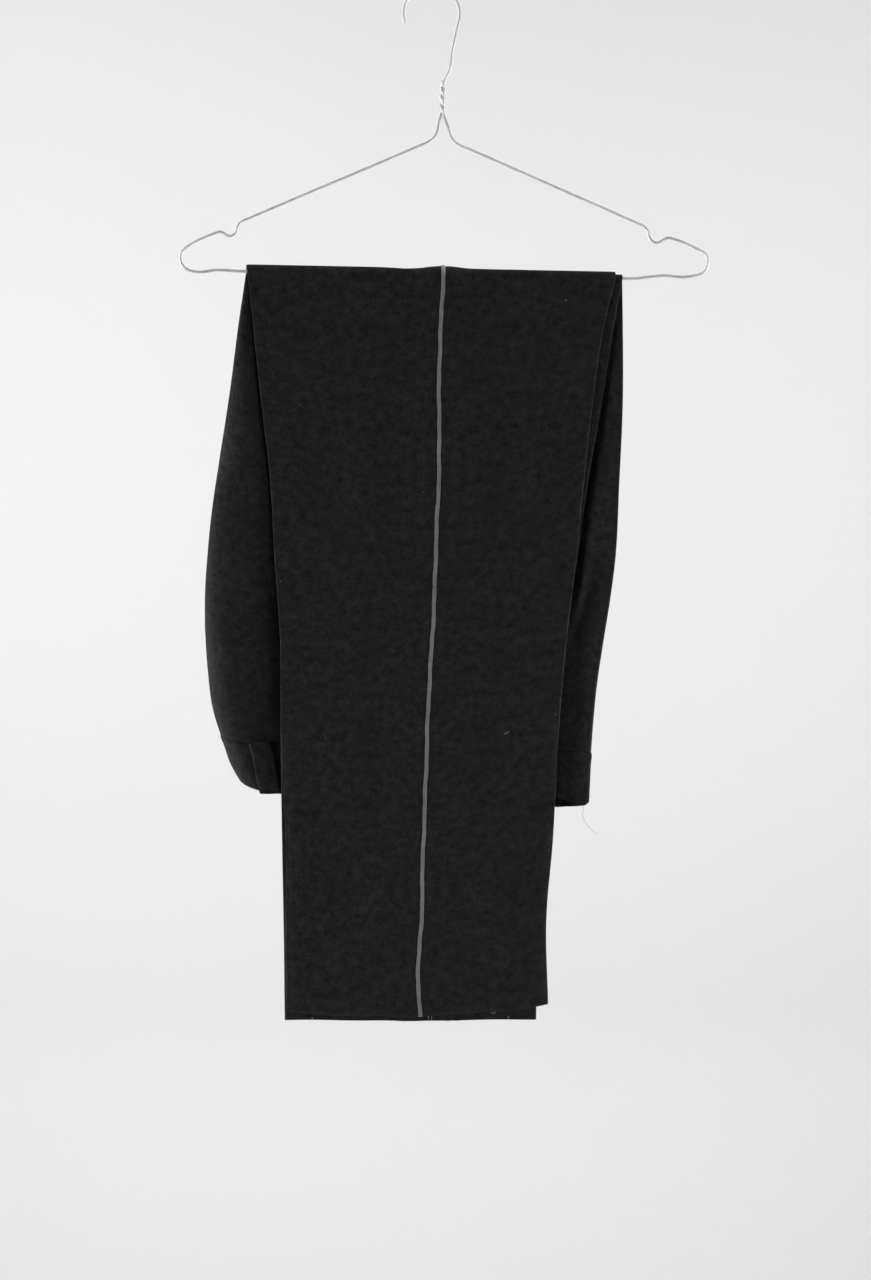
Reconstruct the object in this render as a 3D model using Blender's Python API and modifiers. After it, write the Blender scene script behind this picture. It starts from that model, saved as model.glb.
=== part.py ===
"""Heavy wool uniform trousers with piped side seams, folded leg on leg over a notched wire hanger.

Metres, +Z up, +X to the wearer's front, the camera side at -Y. The origin is where a rail carries
the hook: the inner top of the hook. The right leg hangs outermost in front of the bar, the left leg
lies under it, and behind the bar the two hips open into one body that ends at the waistband.

Every cloth piece is read from one set of rows and columns. A row runs across the garment: rows start
at the hem, climb the front, turn over the bar and fall behind it to the waist. A column is a place on
the section, from the side seam round a crease to the inseam, the centre front or the centre back.
"""

import math

import bpy
import bmesh
import numpy as np

MM = 0.001

# Cloth
WALL = 1.05 * MM  # heavy melton
HEM_WALL = 2.1 * MM  # the wall with its turned-up hem inside
HEM_HEIGHT = 65 * MM
SEAM_GAP = 0.3 * MM
HALF_GAP = SEAM_GAP / 2
PIPING_WIDTH = 3.0 * MM
PIPING_PROUD = 0.75 * MM
PIPING_EDGE = 0.1 * MM  # how proud its two edges are
BAND_HEIGHT = 38.5 * MM
BAND_WALL = 2.1 * MM
BAND_PROUD = 0.4 * MM

# Hanger
WIRE_RADIUS = 1.15 * MM
BAR_Z = -225.2 * MM  # the bar's middle line at X = 0
BAR_SLOPE = -0.02  # its right end hangs lower
HOOK_RADIUS = 22 * MM
HOOK_CENTRE_X = -0.3 * MM
HOOK_START = 200  # degrees round the hook from +X, at its free end
HOOK_STOP = -12  # where it runs into the stem
HOOK_STEPS = 17
STRAND_STEPS = 9  # points in each turn of the twist
LONG_STRETCH = 60  # millimetres: a longer straight keeps its two ends alone

# Fall of the cloth below the bar, in front to the hem and behind to the waist's free edge
HEM_FALL = 578 * MM
WAIST_FALL = 409 * MM
CROTCH_FALL = 155 * MM
BAR_CLEARANCE = WIRE_RADIUS + SEAM_GAP  # from the bar's middle line to the cloth's first face
HUMP_WIDTH = 9 * MM  # the cloth lifts over the left piping, which lies on the bar
HUMP_FADE = 25 * MM

# The seat and the tuck of the centre front
FRONT_FORK = 50 * MM
FRONT_FORK_FADE = 14 * MM
BACK_FORK = 68 * MM
BACK_FORK_FADE = 22 * MM
INSEAM_SHIFT = -14 * MM  # how far the inseam leaves the side seam's line by the crotch
SEAT_SPAN = 125 * MM  # the fall in which the back crease fades into the seat
SEAT_CREASE = 72  # degrees round the seat's turn at which the faded crease lies
INSEAM_FLAT = 3 * MM  # the flat stretch beside the inseam
FORK_OPENING = 4 * MM  # the fall in which the inseam's flat end turns to the centre seam's bend
TUCK_BEND = 5 * MM
STRAIGHT_END = 1.2 * MM  # the last stretch to a centre seam runs square to the middle plane
CENTRE_BACK_LIFT = 13 * MM
TUCK_SAG = 6 * MM
TUCK_SAG_SPAN = 25 * MM
RIGHT_CREASE_SHIFT = -3 * MM  # the right front crease lies this much behind the left one
TIP_DEPTH = 1.25 * MM  # of the back crease's edge, from the layer that lies next to the middle plane
TIP_RISE = 5 * MM
TIP_SPAN = 50 * MM

# Belt loops
LOOP_WIDTH = 17 * MM
LOOP_WALL = 1.5 * MM
LOOP_REACH = 2 * MM  # past the waistband at both ends
LOOP_STAND = 1.7 * MM
LOOP_SHARES = (0.06, 0.25, 0.75, 0.94)  # its bends, as shares of the band's height
LOOP_STANDS = (0.15, 0.5, 1, 1, 0.5, 0.15)  # how far it stands off there and at its ends
LOOP_COLUMNS = (-0.5, -0.2, 0.2, 0.5)  # shares of its width
LOOPS = {"back": 157 * MM, "side": 14 * MM, "front": -52 * MM}  # along the band from the side seam
SEAM_COLUMN = 17  # the band's column at the side seam

# Fly
FLY_WIDTH = 38 * MM
FLY_LENGTH = 165 * MM
FLY_ROWS = (1, 0.85, 0.7, 0.55, 0.4, 0.28, 0.245, 0.15, 0.03)  # shares of its length above the free edge
FLY_COLUMNS = (1.5, 3.5, 5.5, 7.5, 9.5, 12)  # millimetres from the centre front
BAND_STEP = 4 * MM  # the shield steps inward this far before the band
BUTTON_RADIUS = 8.5 * MM
BUTTON_THICKNESS = 2.4 * MM
BUTTON_RIM = 0.5 * MM
BUTTON_FROM_CENTRE = 17 * MM


def table(columns, rows):
    """Rows of numbers in millimetres as named columns in metres."""
    return dict(zip(columns.split(), np.array(rows, float).T * MM))


# The outline of each leg in front of the bar, by its fall below the bar
RIGHT_LEG = table(
    "fall left right seam thick",
    [
        (0, -144.3, 143.5, 9.0, 2.5),
        (36, -140.4, 134.9, 7.3, 2.8),
        (98, -133.8, 125.8, 5.3, 3.0),
        (161, -126.4, 118.9, 5.4, 3.1),
        (223, -122.9, 112.8, 2.7, 3.2),
        (286, -118.6, 105.5, 0.1, 3.3),
        (364, -117.8, 98.8, -4.1, 3.4),
        (450, -113.9, 94.2, -6.6, 3.8),
        (510, -113.9, 89.2, -9.0, 5.2),
        (578, -113.1, 90.5, -8.7, 5.2),
    ],
)
LEFT_LEG = table(
    "fall left right seam thick",
    [
        (0, -144.7, 149.0, 7.5, 2.5),
        (36, -138.4, 142.4, 6.0, 2.8),
        (98, -132.6, 132.6, 4.0, 3.0),
        (161, -125.6, 121.7, 3.5, 3.1),
        (223, -121.7, 113.1, 1.0, 3.2),
        (286, -118.4, 103.0, -2.0, 3.3),
        (364, -118.2, 93.6, -6.5, 3.4),
        (450, -117.0, 86.6, -9.5, 3.8),
        (510, -115.8, 82.7, -12.0, 5.2),
        (578, -115.0, 81.3, -13.0, 5.2),
    ],
)
# How much lower or higher than HEM_FALL each hem ends at its back crease, seam and front crease
HEM_LINE = {"right": (-3, 0, -11), "left": (4, 3, 3)}
# The outline of the body behind the bar
BODY = table(
    "fall left right seam",
    [
        (0, -145.6, 149.0, 7.5),
        (35, -151.2, 149.3, 6.0),
        (97, -160.4, 148.9, 5.0),
        (159, -170.5, 146.1, 5.0),
        (222, -178.8, 143.0, 9.0),
        (254, -180.3, 138.7, 12.0),
        (286, -179.4, 133.7, 15.0),
        (318, -176.8, 128.9, 17.0),
        (349, -171.7, 125.8, 18.5),
        (381, -161.7, 123.6, 19.5),
        (397, -154.2, 122.8, 20.0),
        (409, -147.0, 122.2, 20.0),
    ],
)
# Its depth: the near face behind the bar, half the thickness, the length of the seat's round turn,
# and the front crease's place and bend
DEPTH = table(
    "fall near half turn crease bend",
    [
        (0, 1.45, 2.65, 1.25, 1.40, 1.25),
        (35, 2.2, 4.6, 8, 1.5, 1.3),
        (97, 3.0, 9, 22, 1.7, 1.4),
        (155, 3.5, 14, 38, 2.4, 1.6),
        (222, 4.0, 22, 55, 5.0, 2.4),
        (286, 4.5, 27, 60, 8.5, 3.2),
        (349, 5.0, 28, 56, 11, 3.8),
        (409, 6.0, 27, 50, 13, 4.2),
    ],
)

HEM_TOP = 1 - HEM_HEIGHT / HEM_FALL
FRONT_ROWS = (1, 0.94, HEM_TOP, HEM_TOP - 0.003, 0.8, 0.7, 0.6, 0.5, 0.4, 0.3, 0.2, 0.1, 0.045)
TURNED_ROWS = 3  # the rows within the turned-up hem
TURN_ROWS = np.radians(np.linspace(0, 180, 9))
BODY_ROWS = np.array([12, 30, 55, 85, 120, 155, 158, 162, 168, 177, 190, 206, 226, 250, 276, 304, 336])
BAND_ROWS = np.array([0.0, 0.12, 0.5, 1.0])


def read(columns, name, fall):
    """A column of a table at these falls, on a cubic curve through its rows."""
    x = columns["fall"]
    y = columns[name]
    slope = np.gradient(y, x)
    i = np.clip(np.searchsorted(x, fall) - 1, 0, len(x) - 2)
    step = x[i + 1] - x[i]
    t = np.clip((fall - x[i]) / step, 0, 1)
    start = (1 + 2 * t) * (1 - t) ** 2 * y[i] + t * (1 - t) ** 2 * step * slope[i]
    end = t * t * (3 - 2 * t) * y[i + 1] + t * t * (t - 1) * step * slope[i + 1]
    return start + end


def bar_height(x):
    """The height of the bar's middle line at x."""
    return BAR_Z + BAR_SLOPE * x


def rising(t):
    """A smooth step from 0 to 1."""
    t = np.clip(t, 0, 1)
    return t * t * (3 - 2 * t)


def rows_of(front, turn, body):
    """Rows as columns of turn angle and fall: front rows as shares of the hem's fall, then the turn
    over the bar, then falls behind it. Fall is negative in front."""
    angle = np.concatenate([np.zeros(len(front)), turn, np.full(len(body), math.pi)])
    fall = np.concatenate([-np.array(front) * HEM_FALL, np.zeros(len(turn)), body])
    return angle[:, None], fall[:, None]


def section(side, angle, fall):
    """The measures of the section on each row, side 'left' or 'right'.

    Depth is counted from the middle plane between the two sides: out is the outer face, crease and
    bend are the front crease's middle and radius, turn is the back turn's length, tip its depth.
    """
    leg = {"left": LEFT_LEG, "right": RIGHT_LEG}[side]
    behind = (angle > math.pi / 2) & (fall >= 0)
    down = -np.minimum(fall, 0)
    drop = np.maximum(fall, 0)
    thick = read(leg, "thick", down)
    m = {}
    m["left"] = np.where(behind, read(BODY, "left", drop), read(leg, "left", down))
    m["right"] = np.where(behind, read(BODY, "right", drop), read(leg, "right", down))
    m["seam"] = np.where(behind, read(BODY, "seam", drop), read(leg, "seam", down))
    if side == "right":
        m["right"] = m["right"] + np.where(behind, RIGHT_CREASE_SHIFT, 0)
        start = read(leg, "right", 0.0 * drop) - read(BODY, "right", 0.0 * drop) - RIGHT_CREASE_SHIFT
        m["right"] = m["right"] + np.where(behind, start * np.exp(-drop / HUMP_FADE), 0)
    m["out"] = np.where(behind, read(DEPTH, "half", drop), HALF_GAP + thick)
    m["crease"] = np.where(behind, read(DEPTH, "crease", drop), HALF_GAP + thick / 2)
    m["bend"] = np.where(behind, read(DEPTH, "bend", drop), thick / 2)
    m["turn"] = np.where(behind, read(DEPTH, "turn", drop), thick / 2)
    m["middle"] = np.where(
        behind,
        read(DEPTH, "near", drop) + read(DEPTH, "half", drop),
        BAR_CLEARANCE + thick + HALF_GAP,
    )
    past = np.maximum(drop - CROTCH_FALL, 0)
    inseam = m["seam"] + INSEAM_SHIFT * rising(drop / CROTCH_FALL)
    at_crotch = {k: read(BODY, k, CROTCH_FALL + 0 * drop) for k in ("left", "right", "seam")}
    if side == "right":
        at_crotch["right"] = at_crotch["right"] + RIGHT_CREASE_SHIFT
    fork = at_crotch["seam"] + INSEAM_SHIFT
    front_inset = at_crotch["right"] - fork - FRONT_FORK * (1 - np.exp(-past / FRONT_FORK_FADE))
    back_inset = fork - at_crotch["left"] - BACK_FORK * (1 - np.exp(-past / BACK_FORK_FADE))
    m["open"] = 1 - np.exp(-past / FORK_OPENING)
    m["seated"] = rising(past / SEAT_SPAN)
    m["apex"] = HALF_GAP + (TUCK_BEND - HALF_GAP) * (1 - np.exp(-past / FRONT_FORK_FADE))
    m["front_end"] = np.where(past > 0, m["right"] - front_inset, inseam)
    m["back_end"] = np.where(past > 0, m["left"] + back_inset, inseam)
    m["tip"] = np.where(
        past > 0,
        m["apex"] + TIP_DEPTH + TIP_RISE * rising(past / TIP_SPAN),
        HALF_GAP + np.where(behind, TIP_DEPTH, thick / 2),
    )
    return m


def outer_depth(m, x):
    """The outer face's depth at x: level from the back turn on, then falling to the front crease."""
    flat = m["left"] + m["turn"]
    end = m["right"] - m["bend"]
    t = np.clip((x - flat) / (end - flat), 0, 1)
    return m["out"] - (m["out"] - m["crease"] - m["bend"]) * t * t


def quarter(count):
    """Angles of a quarter turn after its start."""
    return np.radians(90) * np.arange(1, count + 1) / count


def end_piece(m, edge, toward, count):
    """The last columns: flat at the inseam, or a quarter turn to the middle plane at a centre seam.

    edge is the seam's x, toward is +1 where the piece comes from the front and -1 from the back.
    """
    t = np.arange(0, count + 1) / count
    flat_x = edge + toward * (HALF_GAP + INSEAM_FLAT * (1 - t))
    flat_depth = HALF_GAP + 0 * flat_x
    a = np.radians(90) * t
    round_x = edge + toward * m["apex"] * (1 - np.sin(a))
    round_depth = np.maximum(m["apex"] * np.cos(a), HALF_GAP)
    x = flat_x + (round_x - flat_x) * m["open"]
    depth = flat_depth + (round_depth - flat_depth) * m["open"]
    return x, depth


def front_section(m, outer=(0, 0.06, 0.2, 0.45, 0.7, 0.9, 1), crease=4, inner=(0.2, 0.5, 0.8), end=3):
    """x and depth of a front's columns: side seam, crease, then inseam or centre front."""
    start = m["seam"] + PIPING_WIDTH / 2 + SEAM_GAP
    stop = m["right"] - m["bend"]
    x1 = start + (stop - start) * np.array(outer)
    d1 = outer_depth(m, x1)
    a = np.radians(180) * np.arange(1, crease + 1) / crease
    x2 = stop + m["bend"] * np.sin(a)
    d2 = m["crease"] + m["bend"] * np.cos(a)
    x4, d4 = end_piece(m, m["front_end"], 1, end)
    t = np.array(inner)
    x3 = stop + (x4[:, :1] - stop) * t
    d3 = m["crease"] - m["bend"] + (d4[:, :1] - m["crease"] + m["bend"]) * t
    return np.hstack([x1, x2, x3, x4]), np.hstack([d1, d2, d3, d4])


def back_section(m, outer=(0, 0.1, 0.4, 0.75, 1), upper=5, lower=2, inner=(0.35, 0.7), end=3):
    """x and depth of a back's columns: side seam, back crease or seat turn, then inseam or centre back.

    Above the crotch the creased form fades into one round turn that ends at the centre back. The
    crease's columns stay near the turn's end, so that the outline keeps its width meanwhile.
    """
    start = m["seam"] - PIPING_WIDTH / 2 - SEAM_GAP
    flat = m["left"] + m["turn"]
    x1 = start + (flat - start) * np.array(outer)
    d1 = outer_depth(m, x1)
    a = quarter(upper)
    x2 = flat - m["turn"] * np.sin(a)
    d2 = m["tip"] + (m["out"] - m["tip"]) * np.cos(a)
    level = HALF_GAP + (m["apex"] - HALF_GAP) * m["open"]
    small = m["tip"] - level
    b = quarter(lower)
    x3 = m["left"] + small * (1 - np.cos(b))
    d3 = m["tip"] - small * np.sin(b)
    x5, d5 = end_piece(m, m["back_end"], -1, end)
    t = np.array(inner)
    x4 = x3[:, -1:] + (x5[:, :1] - x3[:, -1:]) * t
    d4 = level + (d5[:, :1] - level) * t
    x = np.hstack([x1, x2, x3, x4, x5])
    depth = np.hstack([d1, d2, d3, d4, d5])
    rest = x.shape[1] - len(outer) - upper - 1
    before_crease = SEAT_CREASE * np.arange(1, upper + 1) / upper
    after_crease = SEAT_CREASE + (90 - SEAT_CREASE) * np.arange(1, rest + 1) / rest
    seat_turn = np.radians(np.append(before_crease, after_crease))
    seat_x = np.hstack([x1, flat - m["turn"] * np.sin(seat_turn), m["left"]])
    bent = STRAIGHT_END + (m["out"] - STRAIGHT_END) * np.cos(seat_turn)
    seat_depth = np.hstack([d1, bent, HALF_GAP + 0 * flat])
    return x + (seat_x - x) * m["seated"], depth + (seat_depth - depth) * m["seated"]


def hem_offset(side, m, x):
    """How far below HEM_FALL the hem ends at x, a parabola through its three heights."""
    back, seam, front = np.array(HEM_LINE[side]) * MM
    t = np.where(
        x < m["seam"],
        (x - m["seam"]) / (m["seam"] - m["left"]),
        (x - m["seam"]) / (m["right"] - m["seam"]),
    )
    return seam + (front - back) / 2 * t + ((front + back) / 2 - seam) * t * t


def place(side, angle, fall, m, x, depth):
    """Points in space for x and depth on each row.

    Outward from the bar's middle line the left side comes first, then the middle plane, then the
    right side. In front of the bar that distance runs to -Y, over it radially, and behind it to +Y.
    """
    toward = {"left": -1, "right": 1}[side]
    from_seam = x - LEFT_LEG["seam"][0]
    over_bar = np.exp(-((fall / HUMP_FADE) ** 2) - (from_seam / HUMP_WIDTH) ** 2)
    away = m["middle"] + toward * depth + PIPING_PROUD * over_bar
    down = -np.minimum(fall, 0)
    drop = np.maximum(fall, 0)
    lower_hem = down / HEM_FALL * hem_offset(side, m, x)
    late = (drop / WAIST_FALL) ** 4
    to_back = np.clip((m["left"] + m["turn"] - x) / m["turn"], 0, 1) ** 2
    inside = np.clip((m["crease"] + m["bend"] - depth) / (2 * m["bend"]), 0, 1)
    to_tuck = inside * np.clip((m["right"] - x) / TUCK_SAG_SPAN, 0, 1) * (x > m["left"] + m["turn"])
    lift = late * (CENTRE_BACK_LIFT * to_back - TUCK_SAG * to_tuck * m["seated"])
    y = -away * np.cos(angle)
    z = bar_height(x) + away * np.sin(angle) - down - lower_hem - drop + lift
    return np.stack([x, y, z], axis=-1)


def normals(points, outward):
    """Unit normals of a grid of points; outward is +1 where columns by rows turn to the outside."""
    across = np.gradient(points, axis=1)
    along = np.gradient(points, axis=0)
    n = outward * np.cross(across, along)
    return n / np.linalg.norm(n, axis=2, keepdims=True)


def grid_mesh(name, points, outward):
    """An open surface over a grid of points, its faces turned to the garment's outside."""
    rows, columns = points.shape[:2]
    index = np.arange(rows * columns).reshape(rows, columns)
    corners = np.stack([index[:-1, :-1], index[:-1, 1:], index[1:, 1:], index[1:, :-1]], axis=-1)
    faces = corners.reshape(-1, 4)
    if outward < 0:
        faces = faces[:, ::-1]
    mesh = bpy.data.meshes.new(name)
    mesh.from_pydata(points.reshape(-1, 3).tolist(), [], faces.tolist())
    mesh.shade_smooth()
    return mesh


def cloth_piece(name, points, outward, wall, material, thick_rows=None):
    """A wall of cloth inwards from an outer face. thick_rows marks the rows at the full wall, and the
    others have half of it."""
    piece = bpy.data.objects.new(name, grid_mesh(name, points, outward))
    garment.objects.link(piece)
    piece.data.materials.append(material)
    shell = piece.modifiers.new("wall", "SOLIDIFY")
    shell.thickness = wall
    shell.offset = -1
    shell.use_even_offset = True
    if thick_rows is not None:
        group = piece.vertex_groups.new(name="turned_hem")
        columns = points.shape[1]
        marked = [r * columns + c for r in np.flatnonzero(thick_rows).tolist() for c in range(columns)]
        group.add(marked, 1.0, "REPLACE")
        shell.vertex_group = group.name
        shell.thickness_vertex_group = WALL / HEM_WALL
    return piece


def cloth_material(name, grey, roughness, metallic=0.0):
    """A plain finish in a neutral grey."""
    material = bpy.data.materials.new(name)
    material.use_nodes = True
    shader = material.node_tree.nodes["Principled BSDF"]
    shader.inputs["Base Color"].default_value = (*grey, 1)
    shader.inputs["Roughness"].default_value = roughness
    shader.inputs["Metallic"].default_value = metallic
    return material


def panels():
    """The four cloth panels, hem to waistband, and the piping between them."""
    waist_seam = WAIST_FALL - BAND_HEIGHT - HALF_GAP
    body = np.append(BODY_ROWS * MM, waist_seam)
    angle, fall = rows_of(FRONT_ROWS, TURN_ROWS, body)
    turned_hem = np.arange(len(fall)) < TURNED_ROWS
    for side, front_out in (("left", -1), ("right", 1)):
        m = section(side, angle, fall)
        front = place(side, angle, fall, m, *front_section(m))
        back = place(side, angle, fall, m, *back_section(m))
        cloth_piece(f"front_{side}", front, front_out, HEM_WALL, WOOL, turned_hem)
        cloth_piece(f"back_{side}", back, -front_out, HEM_WALL, WOOL, turned_hem)
        piping(side, angle, fall, m)


def piping(side, angle, fall, m):
    """The folded strip in the side seam: a low dome across, between the two panels' edges."""
    half = PIPING_WIDTH / 2
    across = np.array([-half, -0.45 * half, 0.45 * half, half])
    proud = np.array([PIPING_EDGE, PIPING_PROUD, PIPING_PROUD, PIPING_EDGE])
    x = m["seam"] + across
    depth = outer_depth(m, x) + proud
    outward = {"left": -1, "right": 1}[side]
    cloth_piece(f"piping_{side}", place(side, angle, fall, m, x, depth), outward, WALL, PIPING)


def band_points(side, shares, out):
    """The outer face of the waistband, centre front to centre back, moved out along its normals."""
    fall = WAIST_FALL - BAND_HEIGHT + HALF_GAP + (BAND_HEIGHT - HALF_GAP) * np.array(shares)[:, None]
    angle = np.full_like(fall, math.pi)
    m = section(side, angle, fall)
    front_x, front_depth = front_section(m)
    back_x, back_depth = back_section(m)
    x = np.hstack([front_x[:, ::-1], back_x])
    depth = np.hstack([front_depth[:, ::-1], back_depth])
    points = place(side, angle, fall, m, x, depth)
    outward = {"left": 1, "right": -1}[side]
    move = normals(points, outward) * out
    at_centre = [0, -1]
    move[:, at_centre, 1] = 0
    return points + move


def on_length(points, lengths, origin=0):
    """Points of each row at these lengths along it from one of its columns."""
    step = np.linalg.norm(np.diff(points, axis=1), axis=2)
    run = np.concatenate([np.zeros((len(points), 1)), np.cumsum(step, axis=1)], axis=1)
    run -= run[:, origin : origin + 1]
    rows = [[np.interp(lengths, r, row[:, k]) for k in range(3)] for r, row in zip(run, points)]
    return np.moveaxis(np.array(rows), 1, 2)


def waistbands():
    """Two waistbands, centre front to centre back, and the belt loops on them."""
    for side, outward in (("left", 1), ("right", -1)):
        points = band_points(side, BAND_ROWS, BAND_PROUD)
        cloth_piece(f"waistband_{side}", points, outward, BAND_WALL, WOOL)
        for place_name, from_seam in LOOPS.items():
            belt_loop(f"belt_loop_{place_name}_{side}", side, from_seam)


def belt_loop(name, side, from_seam):
    """A strip from the waist seam to the free edge, standing off the band between its sewn ends."""
    reach = LOOP_REACH / BAND_HEIGHT
    shares = (-reach, *LOOP_SHARES, 1 + reach)
    stand = np.array(LOOP_STANDS)[:, None, None]
    base = BAND_PROUD + SEAM_GAP + LOOP_WALL
    lengths = from_seam + np.array(LOOP_COLUMNS) * LOOP_WIDTH
    low = on_length(band_points(side, shares, base), lengths, SEAM_COLUMN)
    high = on_length(band_points(side, shares, base + LOOP_STAND), lengths, SEAM_COLUMN)
    outward = {"left": 1, "right": -1}[side]
    cloth_piece(name, low + (high - low) * stand, outward, LOOP_WALL, WOOL)


def fly():
    """The shield behind the centre front opening and the button that closes the waistband."""
    fall = WAIST_FALL - FLY_LENGTH * np.array(FLY_ROWS)[:, None]
    angle = np.full_like(fall, math.pi)
    m = section("left", angle, fall)
    panel = place("left", angle, fall, m, *front_section(m, end=6))[:, ::-1]
    on_band = fall > WAIST_FALL - BAND_HEIGHT - BAND_STEP
    inwards = np.where(on_band, BAND_WALL - BAND_PROUD, WALL) + SEAM_GAP
    inner = panel - normals(panel, 1) * inwards[:, :, None]
    strip = on_length(inner, np.append(np.array(FLY_COLUMNS) * MM, FLY_WIDTH))
    cloth_piece("fly_shield", strip, 1, WALL, WOOL)
    band = band_points("left", (0.35, 0.5, 0.65), BAND_PROUD)
    patch = on_length(band, BUTTON_FROM_CENTRE + np.array([-1, 0, 1]) * MM)
    face = np.cross(patch[0, 1] - patch[2, 1], patch[1, 2] - patch[1, 0])
    face *= np.sign(face[1]) / np.linalg.norm(face)
    button(patch[1, 1] + face * (SEAM_GAP + BUTTON_THICKNESS / 2), face)


def button(spot, face):
    """A plain round button with a bevelled rim, its face turned along face."""
    form = bmesh.new()
    bmesh.ops.create_cone(
        form,
        cap_ends=True,
        segments=20,
        radius1=BUTTON_RADIUS,
        radius2=BUTTON_RADIUS,
        depth=BUTTON_THICKNESS,
    )
    mesh = bpy.data.meshes.new("waist_button")
    form.to_mesh(mesh)
    form.free()
    piece = bpy.data.objects.new("waist_button", mesh)
    garment.objects.link(piece)
    mesh.materials.append(HORN)
    rim = piece.modifiers.new("rim", "BEVEL")
    rim.width = BUTTON_RIM
    rim.segments = 1
    rim.limit_method = "ANGLE"
    axis = np.array(face)
    tilt = math.acos(axis[2])
    piece.rotation_mode = "AXIS_ANGLE"
    spin = np.cross([0, 0, 1], axis)
    spin /= np.linalg.norm(spin)
    piece.rotation_axis_angle = (tilt, *spin)
    piece.location = spot
    mesh.shade_smooth()


for old in list(bpy.data.objects):
    bpy.data.objects.remove(old)
garment = bpy.data.collections.new("trousers_on_hanger")
bpy.context.scene.collection.children.link(garment)
WOOL = cloth_material("black_wool", (0.011, 0.011, 0.012), 0.95)
PIPING = cloth_material("grey_piping", (0.13, 0.13, 0.13), 0.85)
HORN = cloth_material("dark_button", (0.02, 0.02, 0.02), 0.4)
STEEL = cloth_material("hanger_wire", (0.55, 0.55, 0.54), 0.35, 1.0)

# Routes of the hanger's wire, X and Z in millimetres, seen from the front
STEM = [
    (18.3, -37.4), (16.8, -44.5), (15.6, -50.7), (14.8, -58.5), (14, -63.2), (12.6, -67.1), (11, -70),
]
LEFT_ARM = [
    (4.7, -106.9), (3.5, -113.1), (0.8, -117.8), (-3.1, -120.9), (-9, -123.6), (-143, -180.8),
    (-149.8, -183.9), (-152.3, -187.6), (-153.2, -191.6), (-155.4, -194.1), (-158.4, -195),
    (-161.4, -193.9), (-164, -192), (-166.6, -191.4), (-170, -192.6), (-190, -202),
    (-194, -204.9), (-196.3, -208.8),
]
RIGHT_ARM = [
    (10.9, -104.5), (12.9, -110), (14.4, -116.2), (17.2, -120.9), (21.1, -123.6), (27, -125.9),
    (160, -184.3), (166.5, -187.8), (169.2, -191.2), (169.9, -195.2), (172.2, -198.7), (175.5, -199.9),
    (179, -199), (182, -197.1), (185.2, -196), (189, -197), (209, -205.6), (213.4, -208),
]
LEFT_END = [
    (-196.7, -212.4), (-195.9, -216.4), (-193.4, -219.6), (-189.5, -221.6), (-183, -222.8),
    (-176.5, -222.4), (-170.8, -221.4), (-163.8, -221.4), (-152, -222.1),
]
RIGHT_END = [
    (215.9, -216.4), (214.9, -220.2), (212.6, -223.2), (208.5, -225.2), (203, -226.3),
    (196.6, -227.1), (190.5, -226.6), (183.3, -225.9), (173.9, -226.4), (157, -228.2),
]
TWIST_TOP = (8.6, -72.5)
TWIST_BOTTOM = (8.0, -100)
TWIST_TURNS = 2


def rounded(route, spacing):
    """Points of a smooth curve through a route, about spacing apart, and fewer on long straights."""
    p = np.array(route, float)
    before = np.vstack([2 * p[0] - p[1], p[:-1]])
    after = np.vstack([p[1:], 2 * p[-1] - p[-2]])
    gap_in = np.linalg.norm(p - before, axis=1, keepdims=True)
    gap_out = np.linalg.norm(after - p, axis=1, keepdims=True)
    heading = (p - before) / gap_in * gap_out + (after - p) / gap_out * gap_in
    heading /= np.linalg.norm(heading, axis=1, keepdims=True)
    out = [p[:1]]
    for a, b, u, v in zip(p[:-1], p[1:], heading[:-1], heading[1:]):
        length = np.linalg.norm(b - a)
        n = 1 if length > LONG_STRETCH else max(1, round(length / spacing))
        t = np.arange(1, n + 1)[:, None] / n
        out.append(
            (1 + 2 * t) * (1 - t) ** 2 * a + t * (1 - t) ** 2 * length * u
            + t * t * (3 - 2 * t) * b + t * t * (t - 1) * length * v
        )
    return np.vstack(out)


def flat_route(route, spacing=4.5):
    """A route in the hanger's plane as points in space, in millimetres."""
    p = rounded(route, spacing)
    return np.column_stack([p[:, 0], np.zeros(len(p)), p[:, 1]])


def strand(phase):
    """One wire of the twist: a helix round the line from its top to its bottom."""
    t = np.linspace(0, 1, STRAND_STEPS * TWIST_TURNS + 1)[:, None]
    top = np.array([TWIST_TOP[0], 0, TWIST_TOP[1]])
    bottom = np.array([TWIST_BOTTOM[0], 0, TWIST_BOTTOM[1]])
    a = phase + 2 * math.pi * TWIST_TURNS * t
    radius = (WIRE_RADIUS + HALF_GAP) / MM
    return top + (bottom - top) * t + radius * np.hstack([np.cos(a), np.sin(a), 0 * a])


def wire(name, points):
    """A round wire along points in millimetres, cut square at both ends."""
    line = bpy.data.curves.new(name, "CURVE")
    line.dimensions = "3D"
    spline = line.splines.new("POLY")
    spline.points.add(len(points) - 1)
    spline.points.foreach_set("co", np.column_stack([points * MM, np.ones(len(points))]).ravel())
    line.bevel_depth = WIRE_RADIUS
    line.bevel_resolution = 2
    line.use_fill_caps = True
    line.materials.append(STEEL)
    piece = bpy.data.objects.new(name, line)
    garment.objects.link(piece)


def split(points, near):
    """A wire's points as two pieces, parted in the middle of the stretch after the point nearest to
    a place in the hanger's plane, with a seam gap between their square ends."""
    k = int(np.linalg.norm(points[:, [0, 2]] - np.array(near), axis=1).argmin())
    middle = (points[k] + points[k + 1]) / 2
    step = (points[k + 1] - points[k]) / np.linalg.norm(points[k + 1] - points[k]) * HALF_GAP / MM
    return np.vstack([points[: k + 1], middle - step]), np.vstack([middle + step, points[k + 1 :]])


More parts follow.
